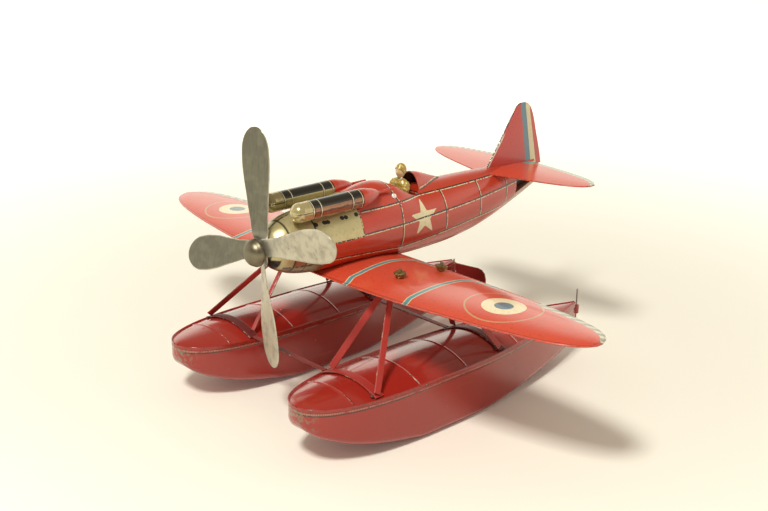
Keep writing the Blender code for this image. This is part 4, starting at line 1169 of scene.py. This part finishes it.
aluminium, tree, shader = new_material("dull aluminium")
grain = cloud(700, 2, (1, 1, 0.1))
tone = over(grain, (0.60, 0.56, 0.45, 1), (0.47, 0.44, 0.34, 1))
# Painted dark reflection: one end of each blade pair is darkened, for the dark room that the top and left
# blades mirror.
reflected_dark_tone = over(grain, (0.125, 0.12, 0.082, 1), (0.07, 0.068, 0.044, 1))
tone = over(times(marked("tarnish"), 0.9), tone, reflected_dark_tone)
tone = over(times(step(cloud(130, 9), 0.42, 0.66), 0.45), tone, (0.22, 0.20, 0.145, 1))
spots = step(cloud(210, 4), 0.66, 0.72)
scratch = node("ShaderNodeBump", {"Height": grain, "Distance": 0.00003, "Strength": 1.0})
dents = node("ShaderNodeBump", {"Height": cloud(30, 2), "Distance": 0.0012, "Strength": 1.0,
                                "Normal": scratch.outputs[0]})
rough = number("MULTIPLY_ADD", grain, 0.18, number("MULTIPLY_ADD", spots, 0.2, 0.36))
fill(shader, {"Base Color": over(times(spots, 0.5), tone, (0.20, 0.18, 0.13, 1)), "Metallic": 0.75,
              "Roughness": rough, "Normal": dents.outputs[0]})
for pair, values in BLADE_PAIRS.items():
    grid, u, far = blade_surface(**values)
    blade = skin(f"blade_sheet_{pair}", grid)
    # The darkened end of each pair is a painted dark reflection, fading out towards the blade's edges.
    dark_reflection_end = 1 if pair == "a" else -1
    near_edge = 1 - np.abs(u) / (np.abs(u).max(1)[:, None] + 1e-9)
    tarnish = unit((dark_reflection_end * far - 8) / 10) * unit(near_edge * 14)
    mark(blade, tarnish=np.append(tarnish.reshape(-1), [0, 0]))
    finish_piece(blade, aluminium, "aluminium", f"blade_pair_{pair}", body="propeller")

cap_metal, tree, shader = new_material("turned aluminium")
polish(over(cloud(120, 4), (0.24, 0.21, 0.145, 1), (0.13, 0.11, 0.07, 1)), 1.0, 0.30, 0.2, fineness=400)
climb, radius = np.array(CAP).T[:, :, None]
turn = turns(96)
cap = skin("hub_dome", points(radius * np.sin(turn), CAP_BACK - climb, AXIS_HEIGHT + radius * np.cos(turn)))
finish_piece(cap, cap_metal, "aluminium", "hub_cap", body="propeller")


# ---- Solids that keep their own shape ---------------------------------------------------------
# The shaft, the clockwork with its square arbor, the wing brackets with their studs, the stern pins and
# the rudder are plain bent or turned pieces and already have their true form in the model.

BRACKET_TOP = 0.1172      # metres; the brass studs start above it
steel, tree, shader = new_material("plain steel")
polish(over(cloud(140, 4), (0.34, 0.32, 0.29, 1), (0.16, 0.13, 0.10, 1)), 0.9, 0.3, 0.3)
# The rudders' red is darker than the floats': painted shade, as the plates stand in shade.
shaded_rudder_paint, tree, shader = new_material("rudder paint")
lacquer((0.22, 0.014, 0.011, 1), wear=times(cloud(90, 4), 0.85))
bracket_paint, tree, shader = new_material("bracket and stud")
in_stud = step(spot_height(), BRACKET_TOP, BRACKET_TOP + 0.0004)
tone = over(in_stud, (0.30, 0.020, 0.014, 1), (0.13, 0.10, 0.04, 1))
lacquer(tone, wear=times(cloud(90, 4), 0.8), dull=0.2)
KEPT = {"propeller_shaft": steel, "clockwork_motor": steel, "rudder_pin": steel,
        "strut_bracket": bracket_paint, "water_rudder": shaded_rudder_paint}
for name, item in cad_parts.items():
    for start, material in KEPT.items():
        if name.startswith(start):
            item.data.materials.clear()
            item.data.materials.append(material)
